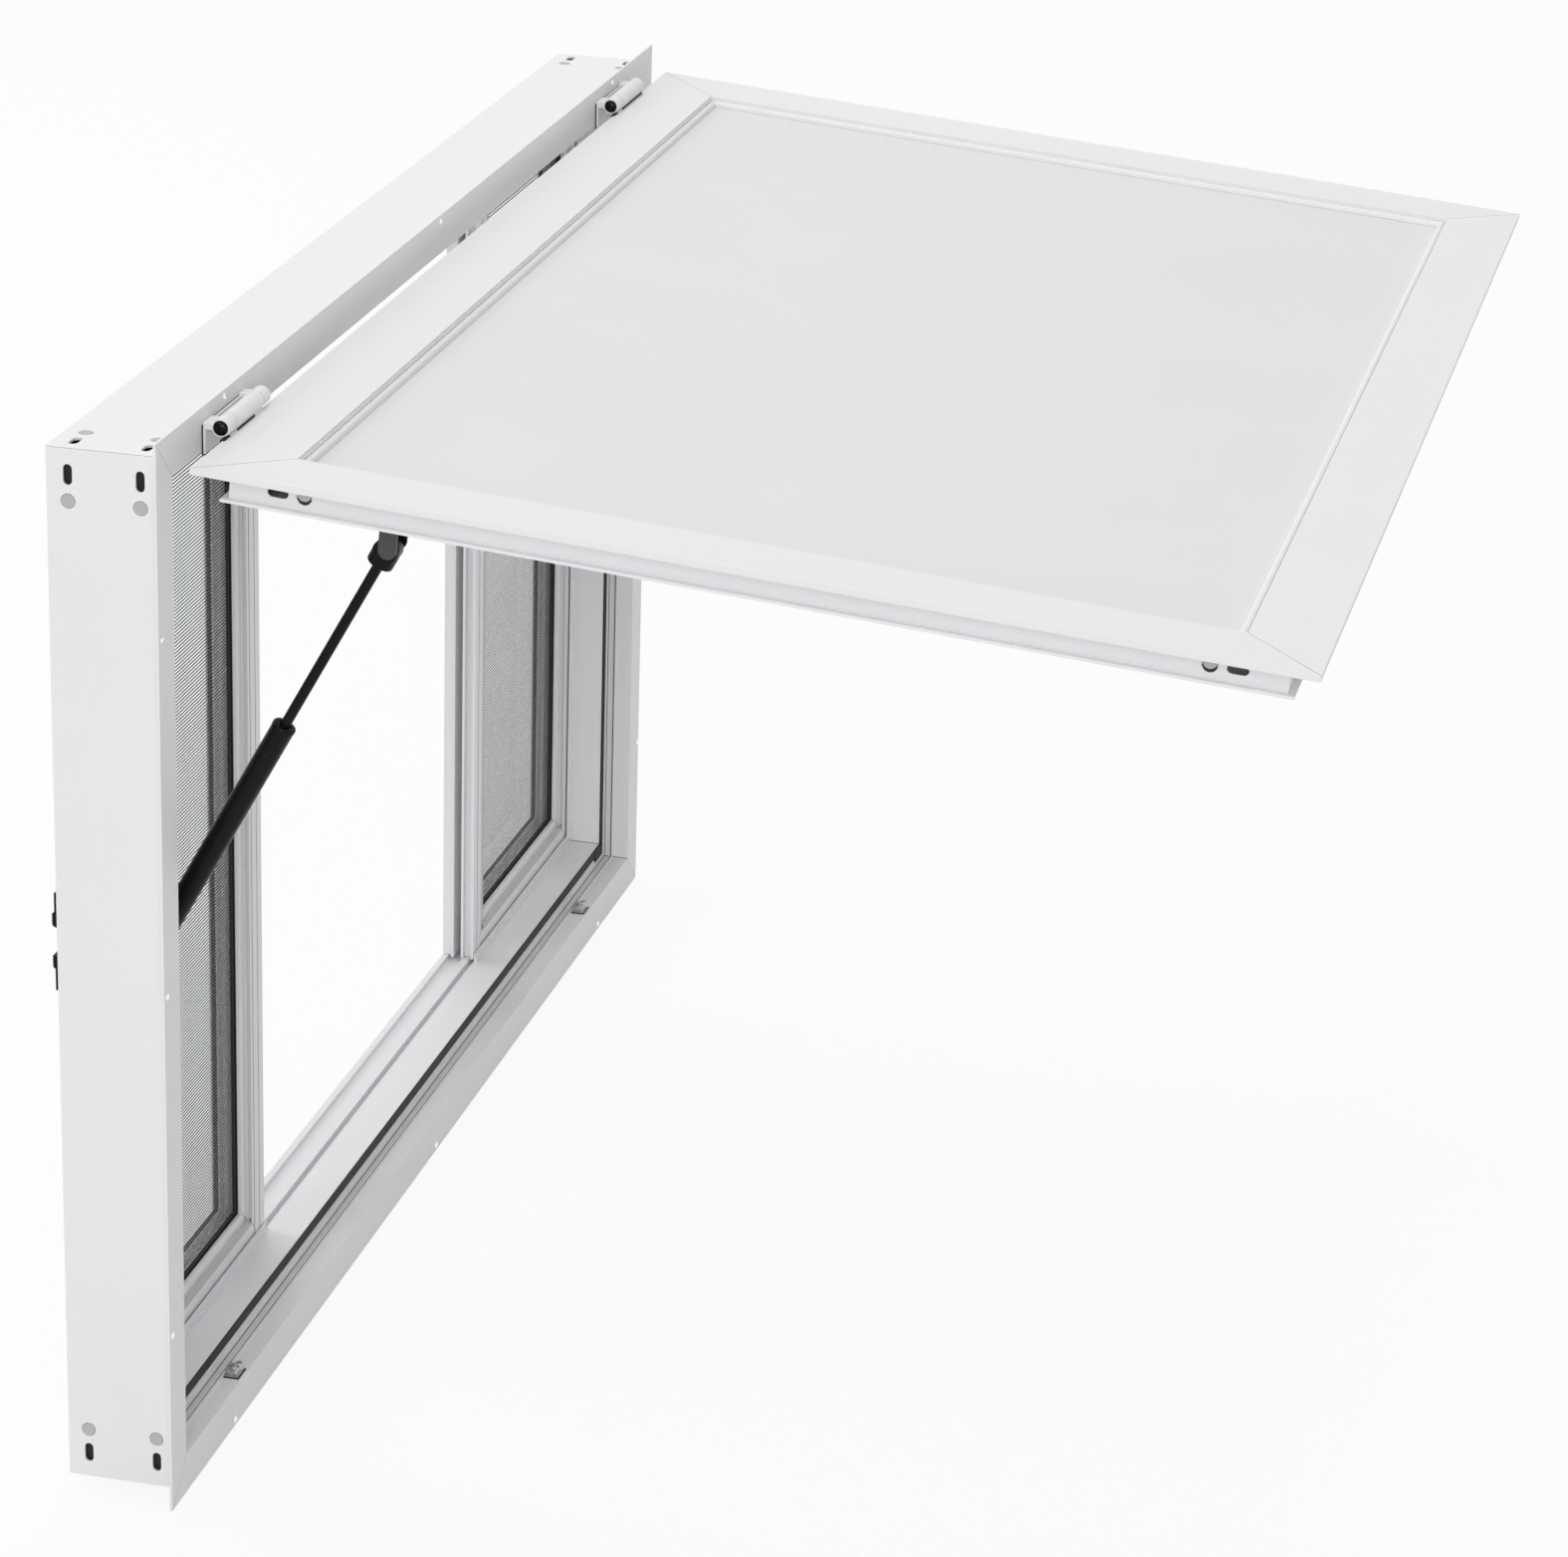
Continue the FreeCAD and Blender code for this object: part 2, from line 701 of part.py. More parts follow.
for hand, sign in HANDS:
    cx = sign * strut_x
    # Foot bracket: a plate on the jamb with a boss beside the barrel's stud
    face = sign * jamb_face
    plate_x = sign * (jamb_face - bracket_t)
    plate = block(V(face, foot.y - bracket_front, foot.z - bracket_h / 2.0),
                  V(plate_x, foot.y + bracket_back, foot.z + bracket_h / 2.0))
    boss_x = sign * (strut_x + barrel_r + foot_gap)
    boss = rod_x(plate_x, boss_x, boss_d, foot.y, foot.z)
    save("strut_foot_bracket_" + hand, plate.fuse(boss).removeSplitter())

    # Barrel, with a flat eye at its foot and the stud that faces the boss
    eye = rod_x(cx - eye_w / 2.0, cx + eye_w / 2.0, eye_d, foot.y, foot.z)
    neck_at = V(cx - eye_w / 2.0, foot.y, foot.z)
    neck_r = eye_d / 2.0 - edge
    neck_l = axis * (barrel_foot + edge)
    neck = prism([
        neck_at - side_dir * neck_r,
        neck_at + side_dir * neck_r,
        neck_at + side_dir * neck_r + neck_l,
        neck_at - side_dir * neck_r + neck_l,
    ], V(eye_w, 0, 0))
    foot_stud = rod_x(cx, sign * (strut_x + barrel_r), stud_d, foot.y, foot.z)
    barrel = turned(cx, barrel_profile).fuse(eye).fuse(neck).fuse(foot_stud)
    save("strut_barrel_" + hand, barrel.removeSplitter())

    # Rod and its socket, whose flat sides turn between the tongues
    round_end = rod_x(cx - eye_end_w / 2.0, cx + eye_end_w / 2.0, eye_end_d,
                      top.y, top.z)
    bore = rod_x(cx - socket_d, cx + socket_d, stud_d + pin_gap * 2.0,
                 top.y, top.z)
    rod = turned(cx, rod_profile).fuse(round_end).cut(bore)
    save("strut_rod_" + hand, rod.removeSplitter())

    # Bracket on the door's back: base, two round-ended tongues and the stud
    back_y = depth(door_t)
    inner = strut_x - socket_d / 2.0 - tongue_gap - tongue_t
    outer = strut_x + socket_d / 2.0 + tongue_gap + tongue_t
    lug = block(V(sign * inner, back_y, stud.z - lug_base_h / 2.0),
                V(sign * outer, back_y + lug_base_t, stud.z + lug_base_h / 2.0))
    for edge_x in (inner, outer - tongue_t):
        x = edge_x if sign > 0 else -edge_x - tongue_t
        at = V(x, stud.y, stud.z)
        outline = ring_points(at, V(0, 0, -1), V(0, 1, 0), tongue_w / 2.0,
                              0, 180, flat_count)
        outline += [
            V(x, back_y, stud.z + tongue_w / 2.0 + lug_base_t),
            V(x, back_y, stud.z - tongue_w / 2.0 - lug_base_t),
        ]
        lug = lug.fuse(prism(outline, V(tongue_t, 0, 0)))
    lug = lug.fuse(rod_x(sign * (inner + tongue_t), sign * (outer - tongue_t),
                         stud_d, stud.y, stud.z))
    save("door_strut_lug_" + hand, swing(lug.removeSplitter()))
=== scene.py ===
# Concession window with two sliding screens, two sliding glass sashes and a
# lift-up awning door on gas struts, dressed piece by piece in metres.
import bpy
import math
from mathutils import Matrix, Vector


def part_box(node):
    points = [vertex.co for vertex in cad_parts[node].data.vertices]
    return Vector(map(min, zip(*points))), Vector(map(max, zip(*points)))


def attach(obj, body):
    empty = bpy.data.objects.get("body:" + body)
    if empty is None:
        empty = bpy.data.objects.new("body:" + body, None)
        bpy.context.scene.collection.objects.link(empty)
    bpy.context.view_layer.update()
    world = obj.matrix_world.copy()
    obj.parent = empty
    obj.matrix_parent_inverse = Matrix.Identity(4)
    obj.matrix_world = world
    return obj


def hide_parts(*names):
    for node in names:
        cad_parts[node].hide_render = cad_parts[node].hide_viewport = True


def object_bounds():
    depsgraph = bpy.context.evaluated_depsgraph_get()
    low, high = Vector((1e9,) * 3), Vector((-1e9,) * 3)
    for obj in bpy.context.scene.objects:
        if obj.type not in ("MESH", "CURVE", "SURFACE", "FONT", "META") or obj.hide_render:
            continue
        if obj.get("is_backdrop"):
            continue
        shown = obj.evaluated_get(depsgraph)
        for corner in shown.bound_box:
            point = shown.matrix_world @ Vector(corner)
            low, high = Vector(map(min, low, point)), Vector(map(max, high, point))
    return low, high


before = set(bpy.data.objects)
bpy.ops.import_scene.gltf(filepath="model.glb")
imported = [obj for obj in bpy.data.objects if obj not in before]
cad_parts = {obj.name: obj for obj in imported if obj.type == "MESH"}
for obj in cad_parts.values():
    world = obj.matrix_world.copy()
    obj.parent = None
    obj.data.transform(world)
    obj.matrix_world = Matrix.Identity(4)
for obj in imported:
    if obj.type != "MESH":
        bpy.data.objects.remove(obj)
cad_low, cad_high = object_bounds()


# Camera: left of the window and a little above it, with a long lens, set for
# a picture of 1575 by 1564.
camera_place = (-3.94087, -1.21769, 1.92806)
camera_turn = (69.0917, -1.6695, -76.4160)
camera_data = bpy.data.cameras.new("camera")
camera_data.lens = 116.0075
camera_data.sensor_width = 36.0
camera_data.clip_start = 0.1
camera_data.clip_end = 60.0
camera = bpy.data.objects.new("camera", camera_data)
camera.location = camera_place
camera.rotation_euler = [math.radians(angle) for angle in camera_turn]
bpy.context.scene.collection.objects.link(camera)
bpy.context.scene.camera = camera
bpy.context.scene.view_settings.view_transform = "Standard"


# Floor and light: a wide white sheet under the window, three soft boxes (high
# on the far side, on the camera's side, in the room behind), a small lamp for
# the highlights and a pale room all round.
MM = 0.001
pure_white = (1.0, 1.0, 1.0, 1.0)
room_light = 0.50
floor_size = 24.0
floor_gap = 0.5 * MM
white_share = 0.9
window_middle = Vector((0.0, 0.0, 0.42))


def clean_material(name):
    """New node material with only its Principled shader and output."""
    material = bpy.data.materials.new(name)
    material.use_nodes = True
    return material, material.node_tree, material.node_tree.nodes["Principled BSDF"]


def white_behind(tree, plain, white):
    """Mix of a plain shader and the white one that only the background shows."""
    path = tree.nodes.new("ShaderNodeLightPath")
    seen = tree.nodes.new("ShaderNodeMath")
    seen.operation = "MAXIMUM"
    through = tree.nodes.new("ShaderNodeMath")
    through.operation = "MAXIMUM"
    mix = tree.nodes.new("ShaderNodeMixShader")
    tree.links.new(path.outputs["Is Camera Ray"], seen.inputs[0])
    tree.links.new(path.outputs["Is Glossy Ray"], seen.inputs[1])
    tree.links.new(seen.outputs[0], through.inputs[0])
    tree.links.new(path.outputs["Is Transmission Ray"], through.inputs[1])
    tree.links.new(through.outputs[0], mix.inputs["Fac"])
    tree.links.new(plain, mix.inputs[1])
    tree.links.new(white, mix.inputs[2])
    return mix.outputs[0]


world = bpy.data.worlds.new("pale room")
world.use_nodes = True
bpy.context.scene.world = world
room = world.node_tree
room.nodes["Background"].inputs["Color"].default_value = pure_white
room.nodes["Background"].inputs["Strength"].default_value = room_light
backdrop = room.nodes.new("ShaderNodeBackground")
backdrop.inputs["Color"].default_value = pure_white
backdrop.inputs["Strength"].default_value = 1.0
room.links.new(
    white_behind(room, room.nodes["Background"].outputs[0], backdrop.outputs[0]),
    room.nodes["World Output"].inputs["Surface"])

bpy.ops.object.select_all(action="DESELECT")
bpy.ops.mesh.primitive_grid_add(x_subdivisions=4, y_subdivisions=4, size=floor_size)
floor = bpy.context.object
floor.name = "floor"
floor.data.transform(Matrix.Translation((0.0, 0.0, cad_low.z - floor_gap)))
floor_paint, tree, paper = clean_material("white paper floor")
paper.inputs["Base Color"].default_value = (0.80, 0.80, 0.80, 1.0)
paper.inputs["Roughness"].default_value = 0.9
lit = tree.nodes.new("ShaderNodeEmission")
lit.inputs["Color"].default_value = pure_white
lit.inputs["Strength"].default_value = 1.0
lifted = tree.nodes.new("ShaderNodeMixShader")
lifted.inputs["Fac"].default_value = white_share
tree.links.new(paper.outputs[0], lifted.inputs[1])
tree.links.new(lit.outputs[0], lifted.inputs[2])
tree.links.new(white_behind(tree, paper.outputs[0], lifted.outputs[0]),
               tree.nodes["Material Output"].inputs["Surface"])
floor.data.materials.append(floor_paint)
floor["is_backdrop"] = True


def soft_box(name, place, size, watts):
    """A square soft box that points at the window's middle."""
    data = bpy.data.lights.new(name, "AREA")
    data.shape = "SQUARE"
    data.size = size
    data.energy = watts
    lamp = bpy.data.objects.new(name, data)
    lamp.location = place
    aim = window_middle - Vector(place)
    lamp.rotation_euler = aim.to_track_quat("-Z", "Y").to_euler()
    bpy.context.scene.collection.objects.link(lamp)


soft_box("soft box high on the far side", (3.2, 1.0, 10.2), 4.5, 305.0)
soft_box("soft box on the camera's side", (-9.6, -2.4, 4.2), 5.0, 345.0)
soft_box("soft box in the room behind", (0.5, 6.5, 3.6), 4.0, 190.0)
soft_box("small lamp for the highlights", (-6.5, 3.0, 6.5), 0.6, 40.0)


# Casing: four lengths of extruded aluminium, mitred and joined at the
# corners, then powder coated satin white.
length_edge = 0.35 * MM
merge_within = 0.01 * MM
flat_within = math.radians(1.0)
sharp_past = math.radians(35.0)


def only(piece):
    """Leaves just this piece selected and active."""
    bpy.ops.object.select_all(action="DESELECT")
    piece.select_set(True)
    bpy.context.view_layer.objects.active = piece


def ease(piece, edge, steps=2):
    """Rounds the sharp edges and keeps the flat faces flat in the light."""
    only(piece)
    bevel = piece.modifiers.new("edge", "BEVEL")
    bevel.width = edge
    bevel.segments = steps
    bevel.limit_method = "ANGLE"
    bevel.angle_limit = sharp_past
    bpy.ops.object.modifier_apply(modifier=bevel.name)
    bpy.ops.object.shade_smooth_by_angle(angle=sharp_past)
    flat = piece.modifiers.new("flat", "WEIGHTED_NORMAL")
    flat.keep_sharp = True
    bpy.ops.object.modifier_apply(modifier=flat.name)


def eased_copy(node, name, edge, steps=2, ring=False):
    """Copy of a CAD node, merged, with a small round on every corner. The
    flat faces of a ring go round a hole, so they stay in their triangles."""
    piece = bpy.data.objects.new(name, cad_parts[node].data.copy())
    bpy.context.scene.collection.objects.link(piece)
    only(piece)
    bpy.ops.mesh.customdata_custom_splitnormals_clear()
    bpy.ops.object.mode_set(mode="EDIT")
    bpy.ops.mesh.select_all(action="SELECT")
    bpy.ops.mesh.remove_doubles(threshold=merge_within)
    if not ring:
        bpy.ops.mesh.dissolve_limited(angle_limit=flat_within)
    bpy.ops.object.mode_set(mode="OBJECT")
    ease(piece, edge, steps)
    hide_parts(node)
    return piece


def dress(piece, material, body):
    """Gives a piece its finish in a material slot of its own, and its body."""
    piece.data.materials.clear()
    piece.data.materials.append(material)
    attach(piece, body)


def coat(name, colour, shade, cloud_scale, roughness, swing, skin, skin_scale,
         specular=0.5, metal=0.0):
    """Finish with a faint change of shade, uneven gloss and a fine skin."""
    material, tree, shader = clean_material(name)
    shader.inputs["Specular IOR Level"].default_value = specular
    shader.inputs["Metallic"].default_value = metal
    place = tree.nodes.new("ShaderNodeTexCoord")
    cloud = tree.nodes.new("ShaderNodeTexNoise")
    cloud.inputs["Scale"].default_value = cloud_scale
    cloud.inputs["Detail"].default_value = 4.0
    tree.links.new(place.outputs["Object"], cloud.inputs["Vector"])
    tint = tree.nodes.new("ShaderNodeValToRGB")
    tint.color_ramp.elements[0].position = 0.3
    tint.color_ramp.elements[1].position = 0.7
    tint.color_ramp.elements[0].color = [c * (1.0 - shade) for c in colour] + [1.0]
    tint.color_ramp.elements[1].color = list(colour) + [1.0]
    tree.links.new(cloud.outputs["Fac"], tint.inputs["Fac"])
    tree.links.new(tint.outputs["Color"], shader.inputs["Base Color"])
    gloss = tree.nodes.new("ShaderNodeMapRange")
    gloss.inputs["To Min"].default_value = roughness - swing
    gloss.inputs["To Max"].default_value = roughness + swing
    tree.links.new(cloud.outputs["Fac"], gloss.inputs["Value"])
    tree.links.new(gloss.outputs["Result"], shader.inputs["Roughness"])
    grain = tree.nodes.new("ShaderNodeTexNoise")
    grain.inputs["Scale"].default_value = skin_scale
    grain.inputs["Detail"].default_value = 2.0
    tree.links.new(place.outputs["Object"], grain.inputs["Vector"])
    relief = tree.nodes.new("ShaderNodeBump")
    relief.inputs["Strength"].default_value = skin
    relief.inputs["Distance"].default_value = 0.1 * MM
    tree.links.new(grain.outputs["Fac"], relief.inputs["Height"])
    tree.links.new(relief.outputs["Normal"], shader.inputs["Normal"])
    return material


powder_coat = coat("satin white powder coat", (0.80, 0.80, 0.815), shade=0.012,
                   cloud_scale=9.0, roughness=0.46, swing=0.04, skin=0.12,
                   skin_scale=1100.0)
for node in ("frame_head", "frame_sill", "frame_jamb_left", "frame_jamb_right"):
    length = eased_copy(node, node.replace("frame", "casing"), length_edge)
    dress(length, powder_coat, "window")


# Hole plugs: grey plastic discs pushed into round holes beside the corner
# slots, flush with the paint and slightly dished.
turned_soft = math.radians(32.0)


def in_mm(profile):
    """Profile of (radius, height) in millimetres, brought to metres."""
    return [(radius * MM, height * MM) for radius, height in profile]


def lathe(name, profile, steps=40):
    """Round piece drawn up its own axis from (radius, height) points."""
    bpy.ops.object.select_all(action="DESELECT")
    bpy.ops.mesh.primitive_circle_add(vertices=steps, radius=profile[0][0],
                                      fill_type="NGON",
                                      location=(0.0, 0.0, profile[0][1]))
    piece = bpy.context.object
    piece.name = name
    bpy.ops.object.transform_apply(location=True)
    bpy.ops.object.mode_set(mode="EDIT")
    bpy.ops.mesh.select_all(action="SELECT")
    for (r0, h0), (r1, h1) in zip(profile, profile[1:]):
        bpy.ops.mesh.extrude_region_move(
            TRANSFORM_OT_translate={"value": (0.0, 0.0, h1 - h0)})
        bpy.ops.transform.resize(value=(r1 / r0, r1 / r0, 1.0),
                                 center_override=(0.0, 0.0, h1))
    bpy.ops.mesh.select_all(action="SELECT")
    bpy.ops.mesh.normals_make_consistent(inside=False)
    bpy.ops.object.mode_set(mode="OBJECT")
    bpy.ops.object.shade_smooth_by_angle(angle=turned_soft)
    return piece


def set_in(piece, place, axis):
    """Moves the mesh from its own upright axis to a place and a direction."""
    turn = axis.to_track_quat("Z", "Y").to_matrix().to_4x4()
    piece.data.transform(Matrix.Translation(place) @ turn)


def twin(piece):
    """Another piece of the same shape, with its own mesh."""
    other = bpy.data.objects.new(piece.name, piece.data.copy())
    bpy.context.scene.collection.objects.link(other)
    return other


def joined(name, pieces):
    """One piece made of several."""
    bpy.ops.object.select_all(action="DESELECT")
    for piece in pieces:
        piece.select_set(True)
    bpy.context.view_layer.objects.active = pieces[0]
    bpy.ops.object.join()
    pieces[0].name = name
    return pieces[0]


def rows_of(pattern, spots):
    """Copies of one pattern at each (place, direction), which is then removed."""
    made = []
    for place, axis in spots:
        made.append(twin(pattern))
        set_in(made[-1], Vector(place), Vector(axis))
    bpy.data.objects.remove(pattern)
    return made


plug_profile = in_mm([(4.9, -1.8), (5.1, -0.4), (5.35, -0.1), (5.25, 0.15),
                      (4.9, 0.25), (4.6, 0.1), (0.6, 0.05)])
grey_plastic = coat("grey plastic", (0.46, 0.46, 0.47), shade=0.03, cloud_scale=60.0,
                    roughness=0.55, swing=0.05, skin=0.10, skin_scale=2000.0)
end_rows = (15.0, 70.5)
plug_from_jamb_end = 40.5 * MM
plug_from_head_end = 38.5 * MM
side_x = 672.0 * MM
casing_bottom, casing_top = 3.0 * MM, 839.0 * MM
spots = []
for row in end_rows:
    y = row * MM
    for sx in (-1, 1):
        for z, sz in ((casing_bottom, -1), (casing_top, 1)):
            spots.append(((sx * side_x, y, z - sz * plug_from_jamb_end), (sx, 0, 0)))
            spots.append(((sx * (side_x - plug_from_head_end), y, z), (0, 0, sz)))
casing_plugs = joined("casing_plugs", rows_of(lathe("plug", plug_profile), spots))
dress(casing_plugs, grey_plastic, "window")
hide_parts("frame_corner_plugs")


# Weather seal: one black rubber strip glued round the step, where the closed
# door's rear edge lands, with a thin pad glued in each lower corner.
def slab(name, low, high, edge=0.0, steps=2):
    """Small block between two corners in millimetres, with eased edges."""
    bpy.ops.object.select_all(action="DESELECT")
    middle = [(a + b) / 2.0 * MM for a, b in zip(low, high)]
    bpy.ops.mesh.primitive_cube_add(size=1.0, location=middle)
    piece = bpy.context.object
    piece.name = name
    piece.scale = [(b - a) * MM for a, b in zip(low, high)]
    bpy.ops.object.transform_apply(location=True, rotation=False, scale=True)
    if edge:
        ease(piece, edge * MM, steps)
    return piece


# Black rubber for the seal, gaskets and splines; the same black is painted shade under the
# keepers, hinges and leaves and inside the slots.
black_rubber_and_shade = coat("black rubber and painted shade", (0.010, 0.010, 0.011), shade=0.2,
                    cloud_scale=60.0, roughness=0.62, swing=0.08, skin=0.30,
                    skin_scale=2500.0, specular=0.35)
seal = eased_copy("frame_seal", "weather_seal", 0.5 * MM, 3, ring=True)
dress(seal, black_rubber_and_shade, "window")
pad_x, pad_half = 625.0, 13.0
pad_y, pad_z = (20.6, 22.6), (31.0, 44.0)
pads = []
for x in (-pad_x, pad_x):
    pads.append(slab("corner pad", (x - pad_half, pad_y[0], pad_z[0]),
                     (x + pad_half, pad_y[1], pad_z[1]), 0.5))
corner_pads = joined("seal_corner_pads", pads)
dress(corner_pads, black_rubber_and_shade, "window")


# Sliding sashes: mitred aluminium rails and stiles, powder coated, two with
# screens in the outer track and two with glass in the inner one.
sash_edge = 0.3 * MM
for kind in ("screen", "glass"):
    for hand in ("left", "right"):
        for part in ("rails", "stiles"):
            node = kind + "_" + hand + "_" + part
            sticks = eased_copy(node, node.replace(kind, kind + "_sash"), sash_edge)
            dress(sticks, powder_coat, "window")
        node = kind + "_" + hand + "_strip"
        strip = eased_copy(node, kind + "_" + hand + "_gasket", sash_edge, ring=True)
        dress(strip, black_rubber_and_shade, "window")


# Screen cloth: stout level wires, about nine to the inch, woven with thin
# upright ones and held in the sash by the gasket.
wire_pitch = 2.857 * MM
level_r = 0.48 * MM
upright_r = 0.04 * MM
wire_sides = 8
wire_soft = math.radians(70.0)
lying = (0.0, math.pi / 2.0, 0.0)
standing = (0.0, 0.0, 0.0)


def let_daylight_through(tree, shader):
    """Lets lamp light pass, as a thin open cloth or a clear pane does."""
    path = tree.nodes.new("ShaderNodeLightPath")
    unseen = tree.nodes.new("ShaderNodeBsdfTransparent")
    daylight = tree.nodes.new("ShaderNodeMixShader")
    tree.links.new(path.outputs["Is Shadow Ray"], daylight.inputs["Fac"])
    tree.links.new(shader.outputs[0], daylight.inputs[1])
    tree.links.new(unseen.outputs[0], daylight.inputs[2])
    tree.links.new(daylight.outputs[0], tree.nodes["Material Output"].inputs["Surface"])


def wire_row(name, first, length, radius, turn, step=(0.0, 0.0, 0.0), count=1):
    """One straight wire, repeated at an even pitch."""
    bpy.ops.object.select_all(action="DESELECT")
    bpy.ops.mesh.primitive_cylinder_add(vertices=wire_sides, radius=radius,
                                        depth=length, location=first,
                                        rotation=turn, end_fill_type="TRIFAN")
    wire = bpy.context.object
    wire.name = name
    bpy.ops.object.transform_apply(location=True, rotation=True)
    bpy.ops.object.shade_smooth_by_angle(angle=wire_soft)
    row = wire.modifiers.new("row", "ARRAY")
    row.use_relative_offset = False
    row.use_constant_offset = True
    row.constant_offset_displace = step
    row.count = count
    bpy.ops.object.modifier_apply(modifier=row.name)
    return wire


screen_wire, tree, shader = clean_material("charcoal screen wire")
shader.inputs["Specular IOR Level"].default_value = 0.4
place = tree.nodes.new("ShaderNodeTexCoord")
crossing = tree.nodes.new("ShaderNodeTexWave")
crossing.bands_direction = "DIAGONAL"
# At scale 1 the wave turns 10 radians in a metre: here it ripples at every
# second wire.
crossing.inputs["Scale"].default_value = math.pi / (10.0 * wire_pitch)
tree.links.new(place.outputs["Object"], crossing.inputs["Vector"])
mottle = tree.nodes.new("ShaderNodeTexNoise")
mottle.inputs["Scale"].default_value = 400.0
tree.links.new(place.outputs["Object"], mottle.inputs["Vector"])
tint = tree.nodes.new("ShaderNodeValToRGB")
tint.color_ramp.elements[0].color = (0.050, 0.050, 0.053, 1.0)
tint.color_ramp.elements[1].color = (0.085, 0.085, 0.088, 1.0)
tree.links.new(mottle.outputs["Fac"], tint.inputs["Fac"])
tree.links.new(tint.outputs["Color"], shader.inputs["Base Color"])
gloss = tree.nodes.new("ShaderNodeMapRange")
gloss.inputs["To Min"].default_value = 0.38
gloss.inputs["To Max"].default_value = 0.55
tree.links.new(mottle.outputs["Fac"], gloss.inputs["Value"])
tree.links.new(gloss.outputs["Result"], shader.inputs["Roughness"])
relief = tree.nodes.new("ShaderNodeBump")
relief.inputs["Strength"].default_value = 0.6
relief.inputs["Distance"].default_value = 0.2 * MM
tree.links.new(crossing.outputs["Fac"], relief.inputs["Height"])
tree.links.new(relief.outputs["Normal"], shader.inputs["Normal"])
let_daylight_through(tree, shader)
for hand in ("left", "right"):
    low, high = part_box("screen_" + hand + "_pane")
    middle = (low + high) / 2.0
    span = high - low
    level_count = int(span.z / wire_pitch)
    upright_count = int(span.x / wire_pitch)
    first_z = middle.z - wire_pitch * (level_count - 1) / 2.0
    first_x = middle.x - wire_pitch * (upright_count - 1) / 2.0
    weft = wire_row("weft", (middle.x, middle.y, first_z), span.x, level_r, lying,
                    (0.0, 0.0, wire_pitch), level_count)
    warp = wire_row("warp", (first_x, middle.y, middle.z), span.z, upright_r, standing,
                    (wire_pitch, 0.0, 0.0), upright_count)
    cloth = joined("screen_cloth_" + hand, [weft, warp])
    dress(cloth, screen_wire, "window")
    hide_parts("screen_" + hand + "_pane")


# Splines: round black rubber cords, 3 mm thick, rolled into the groove along
# the cloth's four edges, which they hold in the sash.
spline_r = 1.5 * MM
spline_in = 2.5 * MM
spline_proud = 0.9 * MM
for hand in ("left", "right"):
    low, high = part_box("screen_" + hand + "_pane")
    middle = (low + high) / 2.0
    front = low.y - spline_proud
    cords = []
    for z in (low.z + spline_in, high.z - spline_in):
        cords.append(wire_row("spline", (middle.x, front, z), high.x - low.x,
                              spline_r, lying))
    for x in (low.x + spline_in, high.x - spline_in):
        cords.append(wire_row("spline", (x, front, middle.z), high.z - low.z,
                              spline_r, standing))
    splines = joined("screen_splines_" + hand, cords)
    dress(splines, black_rubber_and_shade, "window")


# Glass: clear 3 mm float panes with ground edges, bedded behind the gasket.
# A faint smear makes the gloss uneven.
clear_glass, tree, shader = clean_material("clear float glass")
shader.inputs["Base Color"].default_value = (0.998, 1.0, 0.999, 1.0)
shader.inputs["Transmission Weight"].default_value = 1.0
shader.inputs["IOR"].default_value = 1.1
place = tree.nodes.new("ShaderNodeTexCoord")
smear = tree.nodes.new("ShaderNodeTexNoise")
smear.inputs["Scale"].default_value = 7.0
smear.inputs["Detail"].default_value = 5.0
tree.links.new(place.outputs["Object"], smear.inputs["Vector"])
gloss = tree.nodes.new("ShaderNodeMapRange")
gloss.inputs["To Min"].default_value = 0.0
gloss.inputs["To Max"].default_value = 0.01
tree.links.new(smear.outputs["Fac"], gloss.inputs["Value"])
tree.links.new(gloss.outputs["Result"], shader.inputs["Roughness"])
let_daylight_through(tree, shader)
for hand in ("left", "right"):
    pane = eased_copy("glass_" + hand + "_pane", "glass_pane_" + hand, 0.4 * MM, 1)
    dress(pane, clear_glass, "window")


# Sash latches: two black sliding catches on the inner side of the left jamb,
# each a thin plate with a ribbed finger grip at the end that faces the other.
X, Y, Z = Vector((1, 0, 0)), Vector((0, 1, 0)), Vector((0, 0, 1))
black_paint = coat("satin black paint", (0.006, 0.006, 0.007), shade=0.1,
                   cloud_scale=60.0, roughness=0.30, swing=0.05, skin=0.10,
                   skin_scale=2500.0, specular=0.12)
latch_x0, latch_x1 = -671.0, -650.0
plate_y, grip_y, rib_y = (87.0, 89.4), (89.0, 91.6), (91.3, 92.5)
grip_in, grip_tall = 1.5, 11.0
rib_in = 2.5
rib_count, rib_from_end, rib_pitch, rib_tall = 4, 1.9, 2.2, 0.9
screw_from_side, screw_from_end = 4.0, 3.5
latch_screw = in_mm([(1.9, 0.0), (1.9, 0.4), (1.3, 0.8), (0.3, 0.9)])
upper_latch, lower_latch = (462.0, 490.0, 462.0), (411.0, 439.0, 428.0)
latch_parts = []
